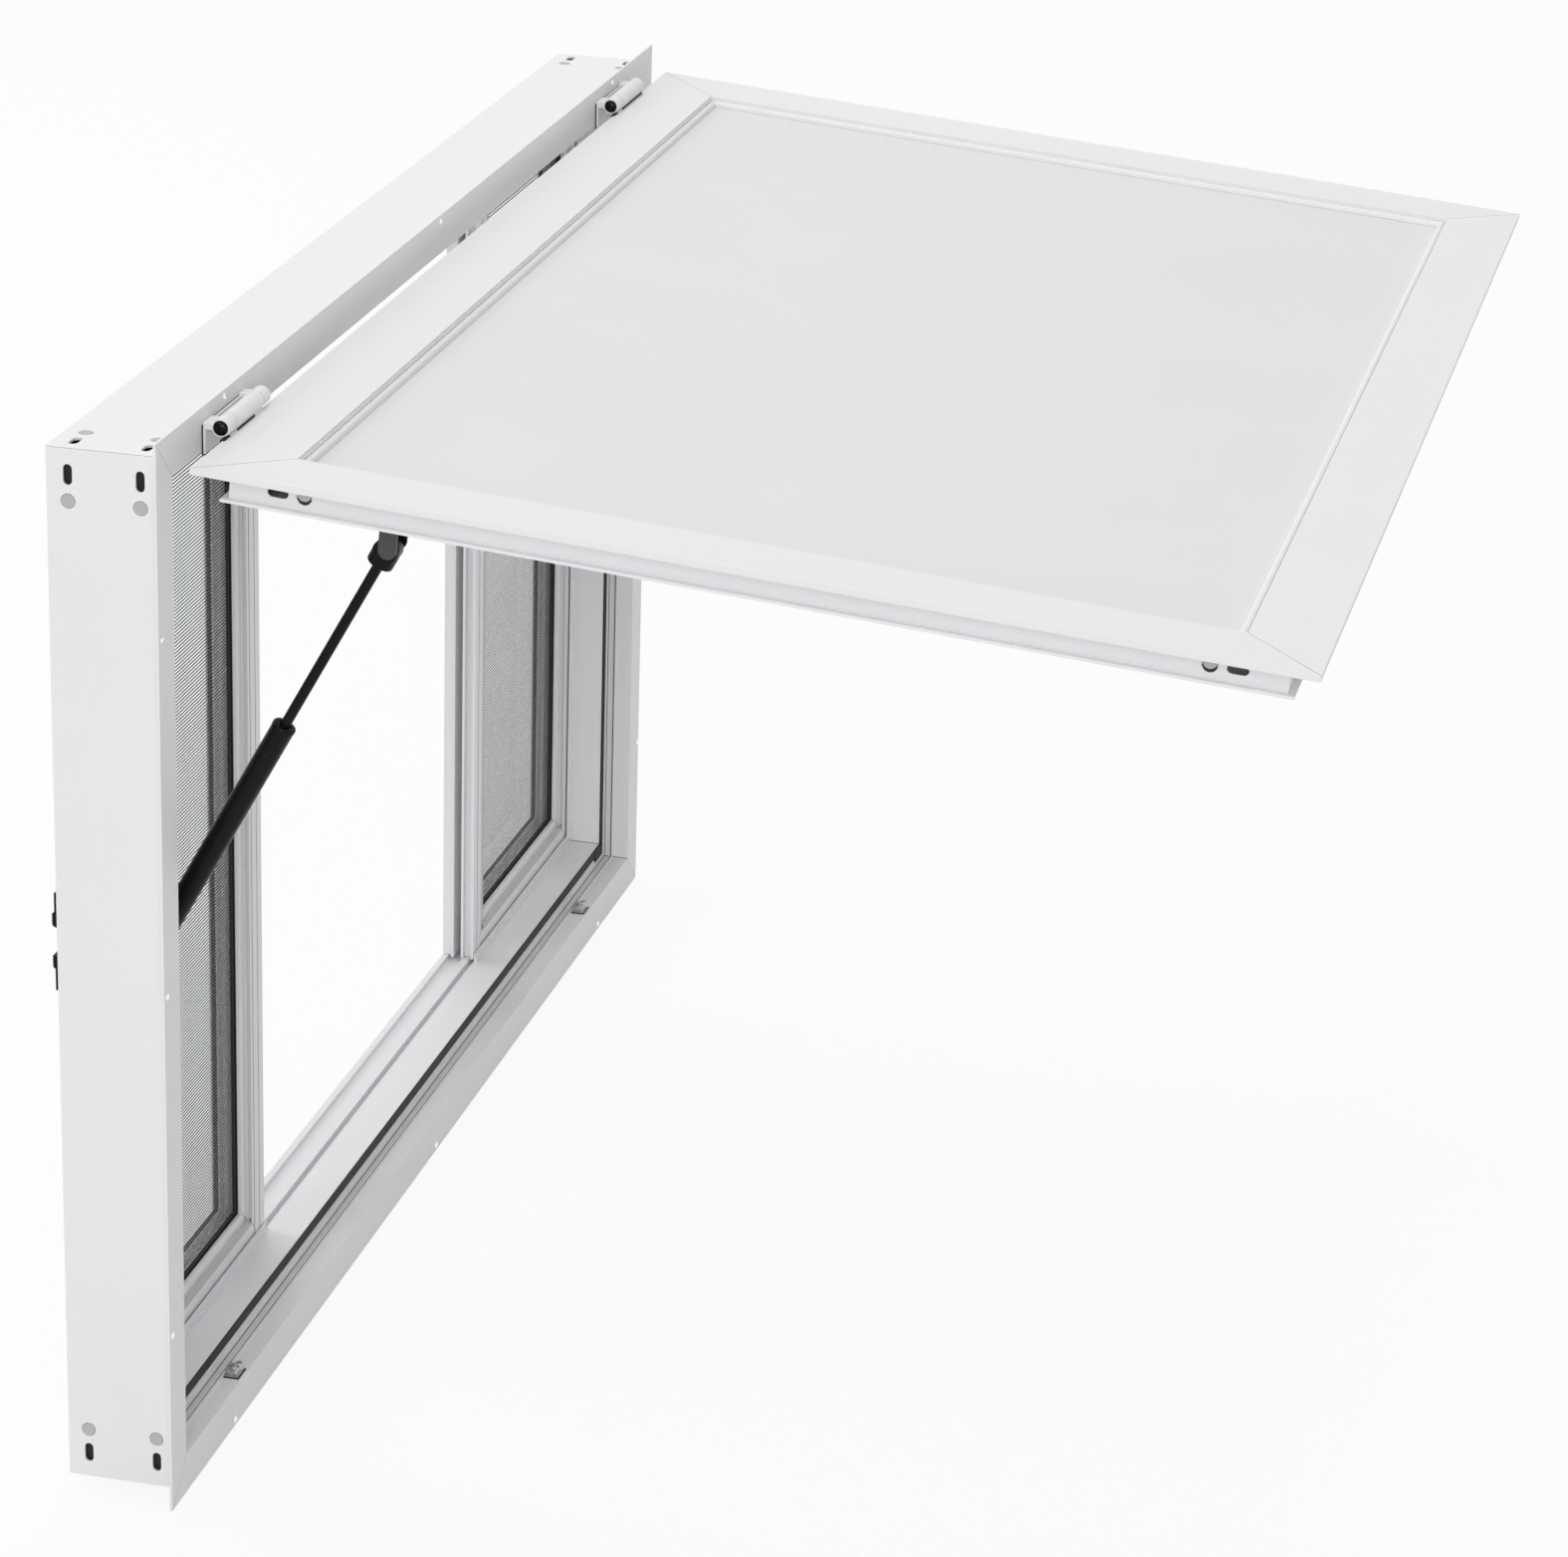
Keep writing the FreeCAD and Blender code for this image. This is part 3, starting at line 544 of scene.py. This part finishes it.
for low, high, grip_low in (upper_latch, lower_latch):
    latch_parts.append(slab("plate", (latch_x0, plate_y[0], low),
                            (latch_x1, plate_y[1], high), 0.6))
    latch_parts.append(slab("grip", (latch_x0 + grip_in, grip_y[0], grip_low),
                            (latch_x1 - grip_in, grip_y[1], grip_low + grip_tall),
                            0.7))
    for i in range(rib_count):
        rib_z = grip_low + rib_from_end + rib_pitch * i
        latch_parts.append(slab("grip rib", (latch_x0 + rib_in, rib_y[0], rib_z),
                                (latch_x1 - rib_in, rib_y[1], rib_z + rib_tall), 0.3))
    bare_end = low + screw_from_end if grip_low > low else high - screw_from_end
    for x in (latch_x0 + screw_from_side, latch_x1 - screw_from_side):
        head = lathe("latch screw", latch_screw, 20)
        set_in(head, Vector((x, plate_y[1], bare_end)) * MM, Y)
        latch_parts.append(head)
latches = joined("sash_latch_pair", latch_parts)
dress(latches, black_paint, "window")
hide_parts("sash_latches")


# Keepers: small bright zinc lumps screwed to the sill's ledge, which the door's
# lock rods drop behind, each on a thin black slab of painted shadow at its foot.
both_hands = (("left", -1), ("right", 1))
zinc = coat("bright zinc", (0.52, 0.52, 0.53), shade=0.25, cloud_scale=200.0,
            roughness=0.34, swing=0.08, skin=0.20, skin_scale=1800.0, metal=0.7)
keeper_x = 510.0
keeper_lean = 5.0
ledge_top = 23.0
shadow_low, shadow_high = Vector((-9.6, 0.2, 0.0)), Vector((9.6, 12.8, 0.7))
keeper_blocks = (
    ("keeper foot", Vector((-8.6, 1.2, 0.5)), Vector((8.6, 12.6, 2.0)), 0.4, 2),
    ("keeper jaw", Vector((-7.6, 2.2, 1.4)), Vector((-0.6, 12.2, 6.6)), 1.4, 3),
    ("keeper tooth", Vector((0.6, 5.4, 1.4)), Vector((4.4, 12.4, 7.6)), 1.0, 3),
    ("keeper bridge", Vector((-3.0, 8.6, 1.4)), Vector((2.4, 11.6, 4.6)), 0.6, 2),
)
post_at, keeper_screw_at = Vector((5.4, 4.8, 1.4)), Vector((-4.2, 6.0, 6.4))
post_shape = in_mm([(3.3, 0.0), (3.3, 5.2), (3.0, 6.1), (2.2, 6.5), (1.5, 6.4),
                    (1.3, 3.8), (0.3, 3.6)])
keeper_screw = in_mm([(2.6, 0.0), (2.6, 0.9), (2.0, 1.6), (0.9, 1.8), (0.7, 0.9),
                      (0.2, 0.8)])
for hand, sign in both_hands:
    at = Vector((sign * keeper_x - keeper_lean, 0.0, ledge_top))
    # A thin black slab under each keeper is painted shadow at its foot.
    foot_shadow = slab("keeper_foot_shadow_" + hand, at + shadow_low, at + shadow_high)
    dress(foot_shadow, black_rubber_and_shade, "window")
    parts = []
    for name, low, high, edge, steps in keeper_blocks:
        parts.append(slab(name, at + low, at + high, edge, steps))
    post = lathe("keeper post", post_shape, 28)
    set_in(post, (at + post_at) * MM, Z)
    screw = lathe("keeper screw", keeper_screw, 24)
    set_in(screw, (at + keeper_screw_at) * MM, Z)
    keeper = joined("keeper_" + hand, parts + [post, screw])
    dress(keeper, zinc, "window")
    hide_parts("door_keeper_" + hand)


# Hinges: a white leaf screwed to the casing's flange carries two end
# knuckles, the door carries the middle one, and a pin runs through all three.
def screw_head(name, radius):
    """Low round head in millimetres, with a round well in its middle."""
    return lathe(name, in_mm([(radius, -0.2), (radius, 0.35), (radius * 0.86, 0.8),
                              (radius * 0.5, 1.15), (radius * 0.3, 1.2),
                              (radius * 0.24, 0.6), (radius * 0.06, 0.55)]), 24)


nickel = coat("polished nickel", (0.93, 0.93, 0.94), shade=0.05, cloud_scale=200.0,
              roughness=0.16, swing=0.04, skin=0.05, skin_scale=1800.0, metal=1.0)
gloss_black = coat("gloss black cap", (0.004, 0.004, 0.005), shade=0.1,
                   cloud_scale=60.0, roughness=0.14, swing=0.04, skin=0.04,
                   skin_scale=1500.0, specular=0.14)
pin_y = -16.4 * MM
pin_z = 837.7 * MM
open_angle = math.radians(85.4)
hinge_pin_at = Vector((0.0, pin_y, pin_z))
door_swing = (Matrix.Translation(hinge_pin_at) @ Matrix.Rotation(-open_angle, 4, "X")
              @ Matrix.Translation(-hinge_pin_at))
hinge_end = 588.0
hinge_l = 104.0
barrel_l = 92.0
knuckle_r = 7.0
near_l = 19.0
far_at = 78.6
knuckle_gap = 0.9
middle_seams = (15.6, 52.0)
seam_half, seam_floor_half, seam_deep = 1.0, 0.6, 0.7
door_arm_y, door_arm_bottom = (-12.0, -5.0), 831.6
leaf_y, leaf_down, leaf_up = (-4.6, -2.0), 21.0, 1.0
leaf_shade_y, leaf_shade_margin = (-2.9, -1.9), 0.9
leaf_arm_y, leaf_arm_down, leaf_arm_up = (-15.0, -2.2), 2.6, 3.4
arm_in = 0.3
leaf_screw_r, leaf_screw_y, leaf_screw_drop = 3.4, -3.5, 13.0
leaf_screw_along = (32.0, 64.0)
pin_r, cap_r = 4.0, 5.8
cap = [(0.5, -2.9), (2.2, -2.75), (3.9, -2.2), (5.0, -1.5), (5.7, -0.6), (cap_r, -0.1)]


def knuckle_tube(name, x, length, seams=()):
    """White tube along the pin with rolled ends and shallow turned seams."""
    r = knuckle_r
    skin = r + 0.1
    shape = [(r - 0.9, 0.0), (r - 0.1, 0.1), (skin, 0.6)]
    for seam in seams:
        shape += [(skin, seam - seam_half), (r - seam_deep, seam - seam_floor_half),
                  (r - seam_deep, seam + seam_floor_half), (skin, seam + seam_half)]
    shape += [(skin, length - 0.6), (r - 0.1, length - 0.1), (r - 0.9, length)]
    tube = lathe(name, in_mm(shape), 40)
    set_in(tube, Vector((x * MM, pin_y, pin_z)), X)
    return tube


for hand, sign in both_hands:
    x0 = -hinge_end if sign < 0 else hinge_end - hinge_l
    x1 = x0 + barrel_l
    z = pin_z / MM
    ends = ((x0, x0 + near_l), (x0 + far_at, x1))
    parts = [slab("leaf plate", (x0, leaf_y[0], z - leaf_down),
                  (x1, leaf_y[1], z + leaf_up), 0.5)]
    for a, b in ends:
        parts.append(slab("leaf arm", (a + arm_in, leaf_arm_y[0], z - leaf_arm_down),
                          (b - arm_in, leaf_arm_y[1], z + leaf_arm_up), 1.0, 3))
        parts.append(knuckle_tube("end knuckle", a, b - a))
    # A black sheet behind each leaf, a little larger than it, is painted shade along the
    # leaf's edges.
    leaf_edge_shade = slab("leaf_edge_shade_" + hand,
                    (x0 - leaf_shade_margin, leaf_shade_y[0], z - leaf_down - leaf_shade_margin),
                    (x1 + leaf_shade_margin, leaf_shade_y[1], z + leaf_up), 0.2)
    dress(leaf_edge_shade, black_rubber_and_shade, "window")
    leaf = joined("leaf_" + hand, parts)
    dress(leaf, powder_coat, "window")
    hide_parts("hinge_" + hand + "_leaf")
    a = x0 + near_l + knuckle_gap
    b = x0 + far_at - knuckle_gap
    middle = knuckle_tube("middle knuckle", a, b - a, middle_seams)
    arm = slab("door arm", (a + arm_in, door_arm_y[0], door_arm_bottom),
               (b - arm_in, door_arm_y[1], z), 0.6)
    arm.data.transform(door_swing)
    knuckle = joined("middle_knuckle_" + hand, [middle, arm])
    dress(knuckle, powder_coat, "awning_door")
    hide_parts("door_knuckle_" + hand)
    shape = cap + [(pin_r, 0.0), (pin_r, barrel_l), (cap_r, barrel_l),
                   (cap_r, barrel_l + 0.1)]
    shape += [(r, barrel_l - h) for r, h in reversed(cap[:-1])]
    rod = lathe("pin_" + hand, in_mm(shape), 36)
    set_in(rod, Vector((x0 * MM, pin_y, pin_z)), X)
    dress(rod, gloss_black, "window")
    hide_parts("hinge_" + hand + "_pin")
    spots = []
    for along in leaf_screw_along:
        spots.append((((x0 + along) * MM, leaf_screw_y * MM,
                       (z - leaf_screw_drop) * MM), (0, -1, 0)))
    screws = joined("leaf_screws_" + hand,
                    rows_of(screw_head("leaf screw", leaf_screw_r), spots))
    dress(screws, nickel, "window")


# Flange screws: plated round heads, three along each side of the flange,
# which hold the casing to the wall.
flange_face = -2.0
flange_screw_r = 3.0
along_head_and_sill = ((-540.0, 0.0, 540.0), (-4.2, 846.2))
along_jambs = ((-679.2, 679.2), (139.0, 421.0, 703.0))
spots = []
for columns, rows in (along_head_and_sill, along_jambs):
    for x in columns:
        for z in rows:
            spots.append(((x * MM, flange_face * MM, z * MM), (0, -1, 0)))
flange_screws = joined("flange_screws",
                       rows_of(screw_head("flange screw", flange_screw_r), spots))
dress(flange_screws, nickel, "window")


# Casing joints: a hairline of grey sealant in each mitre of the flange, and
# along the head's edge at each end.
hair = 0.32
bead_sunk, bead_proud = 0.3, 0.04
mitre_tip_x, mitre_root_x = 684.4, 652.0
mitre_ends_z = ((-9.7, 23.0), (851.7, 819.0))
head_edge_x, head_edge_y, head_edge_z = 672.0, (86.5, 0.3), 838.4
grey_sealant = coat("grey sealant", (0.40, 0.40, 0.41), shade=0.15, cloud_scale=300.0,
                    roughness=0.6, swing=0.05, skin=0.10, skin_scale=2500.0,
                    specular=0.3)


def hairline(name, start, end, out, width=hair):
    """Thin flat strip between two points on a face, in millimetres: a sealant line or a
    line of painted shade.
    """
    start, end, out = Vector(start) * MM, Vector(end) * MM, Vector(out)
    run = end - start
    bead = slab(name, (0.0, -width / 2.0, -bead_sunk),
                (run.length / MM, width / 2.0, bead_proud))
    along = run.normalized()
    turn = Matrix((along, out.cross(along), out)).transposed().to_4x4()
    bead.data.transform(Matrix.Translation(start) @ turn)
    return bead


beads = []
for sx in (-1, 1):
    for tip_z, root_z in mitre_ends_z:
        beads.append(hairline("flange mitre", (sx * mitre_tip_x, flange_face, tip_z),
                              (sx * mitre_root_x, flange_face, root_z), -Y))
    beads.append(hairline("head edge", (sx * head_edge_x, head_edge_y[0], head_edge_z),
                          (sx * head_edge_x, head_edge_y[1], head_edge_z), sx * X, 0.3))
casing_joints = joined("casing_joints", beads)
dress(casing_joints, grey_sealant, "window")


# Step lines: dark strips of painted shade in the drain groove, in the step's corner
# and beside its two ribs, along the sill and both jambs; dark joints where jambs meet the
# sill.
# This dark finish is painted shade in the step's hollows and sealant in the joints.
dark_sealant_and_shade = coat("dark sealant and painted shade", (0.07, 0.07, 0.075), shade=0.2, cloud_scale=300.0,
                    roughness=0.6, swing=0.05, skin=0.10, skin_scale=2500.0,
                    specular=0.3)
half_wide, flange_low, flange_high = 685.0, -10.0, 852.0
step_in, platform_in = 33.0, 54.0
corner_off, corner_w = 0.15, 0.5
outer_rib_in, inner_rib_in, wall_y = 35.6, 41.6, 22.6
groove_shade, step_corner_shade = (step_in, 15.85, 1.1, False), (step_in, 22.25, 0.7, False)
rib_shades = ((outer_rib_in, wall_y, 0.6, True), (inner_rib_in, wall_y, 0.6, True))
beads = []
for inset, y, width, on_wall in (groove_shade, step_corner_shade) + rib_shades:
    x, z0, z1 = half_wide - inset, flange_low + inset, flange_high - inset
    for start, end, out in (((-x, y, z0), (x, y, z0), Z), ((x, y, z0), (x, y, z1), -X),
                            ((-x, y, z1), (-x, y, z0), X)):
        beads.append(hairline("step shade line", start, end, -Y if on_wall else out, width))
for sx in (-1, 1):
    for inset, y0, y1 in ((step_in, -1.6, 22.0), (platform_in, 22.8, 54.0)):
        x, z = sx * (half_wide - inset), flange_low + inset
        beads.append(hairline("corner bead", (x, y0, z + corner_off),
                              (x, y1, z + corner_off), -sx * X, corner_w))
        x -= sx * corner_off
        beads.append(hairline("corner bead", (x, y0, z), (x, y1, z), Z, corner_w))
step_shade_and_joints = joined("step_shade_and_joints", beads)
dress(step_shade_and_joints, dark_sealant_and_shade, "window")


# Sash lines: a grey band of painted shade beside the shallow recess round each
# screen sash, dark sealant in the sash's four mitres, and on the meeting stile a
# dark band of painted shade and a dark seam beside the cover strip.
recess_shade_grey = coat("grey insert strip", (0.55, 0.55, 0.56), shade=0.04,
                   cloud_scale=60.0, roughness=0.5, swing=0.05, skin=0.10,
                   skin_scale=2500.0, specular=0.3)
shade_band_out, shade_band_w = 12.4, 7.0
recess_out, recess_deep = 10.8, 3.3
mitre_out, mitre_w = 21.0, 0.5
cover_shade_out, cover_shade_w = 22.4, 2.6
cover_seam_out, cover_seam_w = 31.5, 0.9
cover_past_cloth = 30.0
for hand, sign in both_hands:
    low, high = [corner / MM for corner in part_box("screen_" + hand + "_pane")]
    face_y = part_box("screen_" + hand + "_rails")[0].y / MM
    seam_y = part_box("screen_" + hand + "_stiles")[0].y / MM
    x0, x1 = low.x - shade_band_out, high.x + shade_band_out
    z0, z1 = low.z - shade_band_out, high.z + shade_band_out
    # The grey strips are painted shade of the recess, laid on the sash's face.
    strips = []
    corners = ((x0, z0), (x1, z0), (x1, z1), (x0, z1))
    for start, end in zip(corners, corners[1:] + corners[:1]):
        strips.append(hairline("insert", (start[0], face_y, start[1]),
                               (end[0], face_y, end[1]), -Y, shade_band_w))
    ring = joined("sash_recess_shade_" + hand, strips)
    dress(ring, recess_shade_grey, "window")
    mitres = []
    recess_y = face_y + recess_deep
    for x, sx in ((low.x, -1), (high.x, 1)):
        for z, sz in ((low.z, -1), (high.z, 1)):
            step = (x + sx * recess_out, z + sz * recess_out)
            tip = (x + sx * mitre_out, z + sz * mitre_out)
            mitres.append(hairline("sash mitre", (x, recess_y, z),
                                   (step[0], recess_y, step[1]), -Y, mitre_w))
            mitres.append(hairline("sash mitre", (step[0], face_y, step[1]),
                                   (tip[0], face_y, tip[1]), -Y, mitre_w))
    sash_mitres = joined("sash_mitres_" + hand, mitres)
    dress(sash_mitres, dark_sealant_and_shade, "window")
    meeting_x = high.x if sign < 0 else low.x
    # The wider dark band is painted shade on the cover strip's side; the thin one is a
    # seam.
    lines = []
    for out, y, width in ((cover_shade_out, face_y, cover_shade_w),
                          (cover_seam_out, seam_y, cover_seam_w)):
        x = meeting_x - sign * out
        lines.append(hairline("cover shade and seam", (x, y, low.z - cover_past_cloth),
                              (x, y, high.z + cover_past_cloth), -Y, width))
    seams = joined("cover_shade_and_seams_" + hand, lines)
    dress(seams, dark_sealant_and_shade, "window")


# Slot shade: black blocks inside the casing's ends, painted shade of the hollow
# that shows as dark floors behind the open slots.
shade_block_half_l, shade_block_half_w, shade_block_edge = 9.0, 5.0, 0.3
sides_in, ends_in = (3.4, 4.6), (3.4, 4.6)
slot_from_end = 20.5
slot_x = 654.8
slot_shades = []
for y in end_rows:
    y0, y1 = y - shade_block_half_w, y + shade_block_half_w
    for sx in (-1, 1):
        for end_z, sz in ((casing_bottom / MM, 1), (casing_top / MM, -1)):
            x0, x1 = sorted(sx * (side_x / MM - deep) for deep in sides_in)
            z = end_z + sz * slot_from_end
            # Each block is painted shade inside the hollow, seen through a slot.
            slot_shades.append(slab("sleeve", (x0, y0, z - shade_block_half_l),
                                (x1, y1, z + shade_block_half_l), shade_block_edge))
            z0, z1 = sorted(end_z + sz * deep for deep in ends_in)
            x = sx * slot_x
            slot_shades.append(slab("sleeve", (x - shade_block_half_l, y0, z0),
                                (x + shade_block_half_l, y1, z1), shade_block_edge))
slot_shade_blocks = joined("slot_shade_blocks", slot_shades)
dress(slot_shade_blocks, black_rubber_and_shade, "window")


# Awning door: four mitred lengths with a flat outer face, a rim, a box behind
# it and a rear lip, and a rounded bead that holds the sheet. Its joints, the black
# strips of painted shade under the hinges and its plugs are made on the closed door and
# swung open with it.
for node in ("door_top_rail", "door_bottom_rail", "door_stile_left",
             "door_stile_right"):
    length = eased_copy(node, node.replace("door", "awning"), length_edge)
    dress(length, powder_coat, "awning_door")
door_face = -10.0
door_tip_x, door_root_x, door_mitre_w = 665.5, 605.0, 0.4
door_mitre_ends_z = ((9.3, 70.0), (832.7, 772.0))
beads = []
for sx in (-1, 1):
    for tip_z, root_z in door_mitre_ends_z:
        beads.append(hairline("door mitre", (sx * door_tip_x, door_face, tip_z),
                              (sx * door_root_x, door_face, root_z), -Y, door_mitre_w))
door_joints = joined("door_joints", beads)
door_joints.data.transform(door_swing)
dress(door_joints, grey_sealant, "awning_door")
# Black strips and end blocks along each hinge barrel are painted shade of the gap between
# the barrel and the door's face.
left_shade_x, right_shade_x = (-hinge_end, -530.0), (hinge_end - hinge_l, 572.0)
strip_from, strip_y, strip_z = 20.0, (-11.6, -9.8), (830.8, 831.8)
block_x, block_y, block_z = (-9.0, 5.0), (-10.6, -7.2), (831.0, 834.7)
pads = []
for x0, x1 in (left_shade_x, right_shade_x):
    pads.append(slab("pad", (x0 + strip_from, strip_y[0], strip_z[0]),
                     (x1, strip_y[1], strip_z[1]), 0.2))
    pads.append(slab("hinge shade block", (x0 + block_x[0], block_y[0], block_z[0]),
                     (x0 + block_x[1], block_y[1], block_z[1]), 0.4))
hinge_shade_strips = joined("hinge_shade_strips", pads)
hinge_shade_strips.data.transform(door_swing)
dress(hinge_shade_strips, black_rubber_and_shade, "awning_door")
door_sheet = coat("satin white sheet", (0.745, 0.745, 0.755), shade=0.02,
                  cloud_scale=6.0, roughness=0.5, swing=0.04, skin=0.10,
                  skin_scale=900.0)
sheet = eased_copy("door_panel", "awning_sheet", 0.3 * MM)
dress(sheet, door_sheet, "awning_door")
door_web_x = 643.0 * MM
door_plug_y = 2.75 * MM
door_low, door_high = 9.0 * MM, 833.0 * MM
door_plug_from_end = 80.0 * MM
spots = []
for sx in (-1, 1):
    for z in (door_low + door_plug_from_end, door_high - door_plug_from_end):
        spots.append(((sx * door_web_x, door_plug_y, z), (sx, 0, 0)))
awning_plugs = joined("awning_plugs", rows_of(lathe("plug", plug_profile), spots))
awning_plugs.data.transform(door_swing)
dress(awning_plugs, grey_plastic, "awning_door")
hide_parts("door_corner_plugs")


# Gas struts: a foot bracket on each jamb, a black barrel, a black rod and a
# plastic socket held between two tongues on the door's back.
# The outer tongue is a lighter grey than the black inner one: painted light on its lit
# side.
lit_tongue_grey = coat("grey of the lit tongue, painted light", (0.060, 0.060, 0.065), shade=0.08,
                   cloud_scale=60.0, roughness=0.45, swing=0.05, skin=0.10,
                   skin_scale=2500.0, specular=0.35)
strut_x = 614.0
strut_foot = Vector((0.0, 33.0, 427.6))
strut_top = Vector((0.0, -152.78, 767.135))
strut_axis = (strut_top - strut_foot).normalized()
rod_shape = in_mm([(4.0, 205.0), (4.0, 373.4), (8.2, 373.5), (9.6, 373.9),
                   (10.2, 374.7), (10.3, 376.0), (10.3, 386.0), (9.7, 388.6),
                   (8.0, 390.4), (1.0, 391.0)])
barrel_rim = in_mm([(8.7, 218.0), (9.25, 218.5), (9.25, 220.9), (8.8, 221.7),
                    (7.6, 222.1), (5.4, 222.1), (5.0, 221.0), (1.0, 221.0)])
socket_end = in_mm([(8.6, -8.5), (9.5, -8.1), (9.8, -7.4), (9.8, 7.4), (9.5, 8.1),
                    (8.6, 8.5), (0.6, 8.5)])
stud_shape = in_mm([(4.0, 0.0), (4.0, 28.0)])
stud_at = Vector((0.0, 39.2, 692.7))
tongue_r, tongue_thick, tongue_out = 6.9, 3.0, 14.3
tongue_shape = in_mm([(tongue_r, 0.0), (tongue_r, tongue_thick)])
door_back_y = 18.0
base_half, base_in, base_thick = 17.0, 3.2, 3.0
plate_turn = Matrix(((0, 0, 1), (0, 1, 0), (-1, 0, 0))).to_4x4()


def tongue(name, x):
    """Round-ended plate from the door's back to a little past the stud."""
    arch = lathe(name, tongue_shape, 48)
    only(arch)
    bpy.ops.object.mode_set(mode="EDIT")
    bpy.ops.mesh.select_all(action="SELECT")
    bpy.ops.mesh.bisect(plane_co=(0.0, 0.0, 0.0), plane_no=(0.0, 1.0, 0.0),
                        use_fill=True, clear_inner=True)
    bpy.ops.object.mode_set(mode="OBJECT")
    bpy.ops.object.shade_flat()
    for face in arch.data.polygons:
        face.select = face.normal.y < -0.9
    bpy.ops.object.mode_set(mode="EDIT")
    bpy.ops.mesh.select_mode(type="FACE")
    bpy.ops.mesh.extrude_region_move(
        TRANSFORM_OT_translate={"value": (0.0, (door_back_y - stud_at.y) * MM, 0.0)})
    bpy.ops.mesh.select_all(action="SELECT")
    bpy.ops.mesh.remove_doubles(threshold=0.001 * MM)
    bpy.ops.mesh.normals_make_consistent(inside=False)
    bpy.ops.object.mode_set(mode="OBJECT")
    ease(arch, 0.35 * MM)
    place = Vector((x, stud_at.y, stud_at.z)) * MM
    arch.data.transform(Matrix.Translation(place) @ plate_turn)
    return arch


for hand, sign in both_hands:
    x = sign * strut_x
    foot = eased_copy("strut_foot_bracket_" + hand, "foot_bracket_" + hand, 0.5 * MM)
    dress(foot, black_paint, "window")
    low_end = Vector((x, strut_foot.y, strut_foot.z)) * MM
    barrel = eased_copy("strut_barrel_" + hand, "barrel_tube_" + hand, 0.3 * MM)
    rim = lathe("rim", barrel_rim, 48)
    set_in(rim, low_end, strut_axis)
    barrel = joined("barrel_tube_" + hand, [barrel, rim])
    dress(barrel, black_paint, "barrel_" + hand)
    rod = lathe("rod", rod_shape, 48)
    set_in(rod, low_end, strut_axis)
    end = lathe("socket end", socket_end, 48)
    set_in(end, Vector((x, strut_top.y, strut_top.z)) * MM, X)
    rod = joined("rod_and_socket_" + hand, [rod, end])
    dress(rod, black_paint, "rod_" + hand)
    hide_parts("strut_rod_" + hand)
    outer, inner = strut_x + tongue_out, strut_x - tongue_out
    outer_x = min(sign * outer, sign * (outer - tongue_thick))
    inner_x = min(sign * inner, sign * (inner + tongue_thick))
    # The outer plate takes the lighter grey of painted light.
    plate = tongue("lug_plate_" + hand, outer_x)
    plate.data.transform(door_swing)
    dress(plate, lit_tongue_grey, "awning_door")
    x0, x1 = sorted((sign * inner, sign * outer))
    stud = lathe("stud", stud_shape, 28)
    set_in(stud, Vector((x0 + 0.3, stud_at.y, stud_at.z)) * MM, X)
    base = slab("lug base", (x0 + base_in, door_back_y, stud_at.z - base_half),
                (x1 - base_in, door_back_y + base_thick, stud_at.z + base_half), 0.6)
    yoke = joined("lug_yoke_" + hand, [tongue("inner tongue", inner_x), stud, base])
    yoke.data.transform(door_swing)
    dress(yoke, black_paint, "awning_door")
    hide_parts("door_strut_lug_" + hand)


# Size: the box of the finished window, taken as the box of the solids was at the start.
low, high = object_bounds()
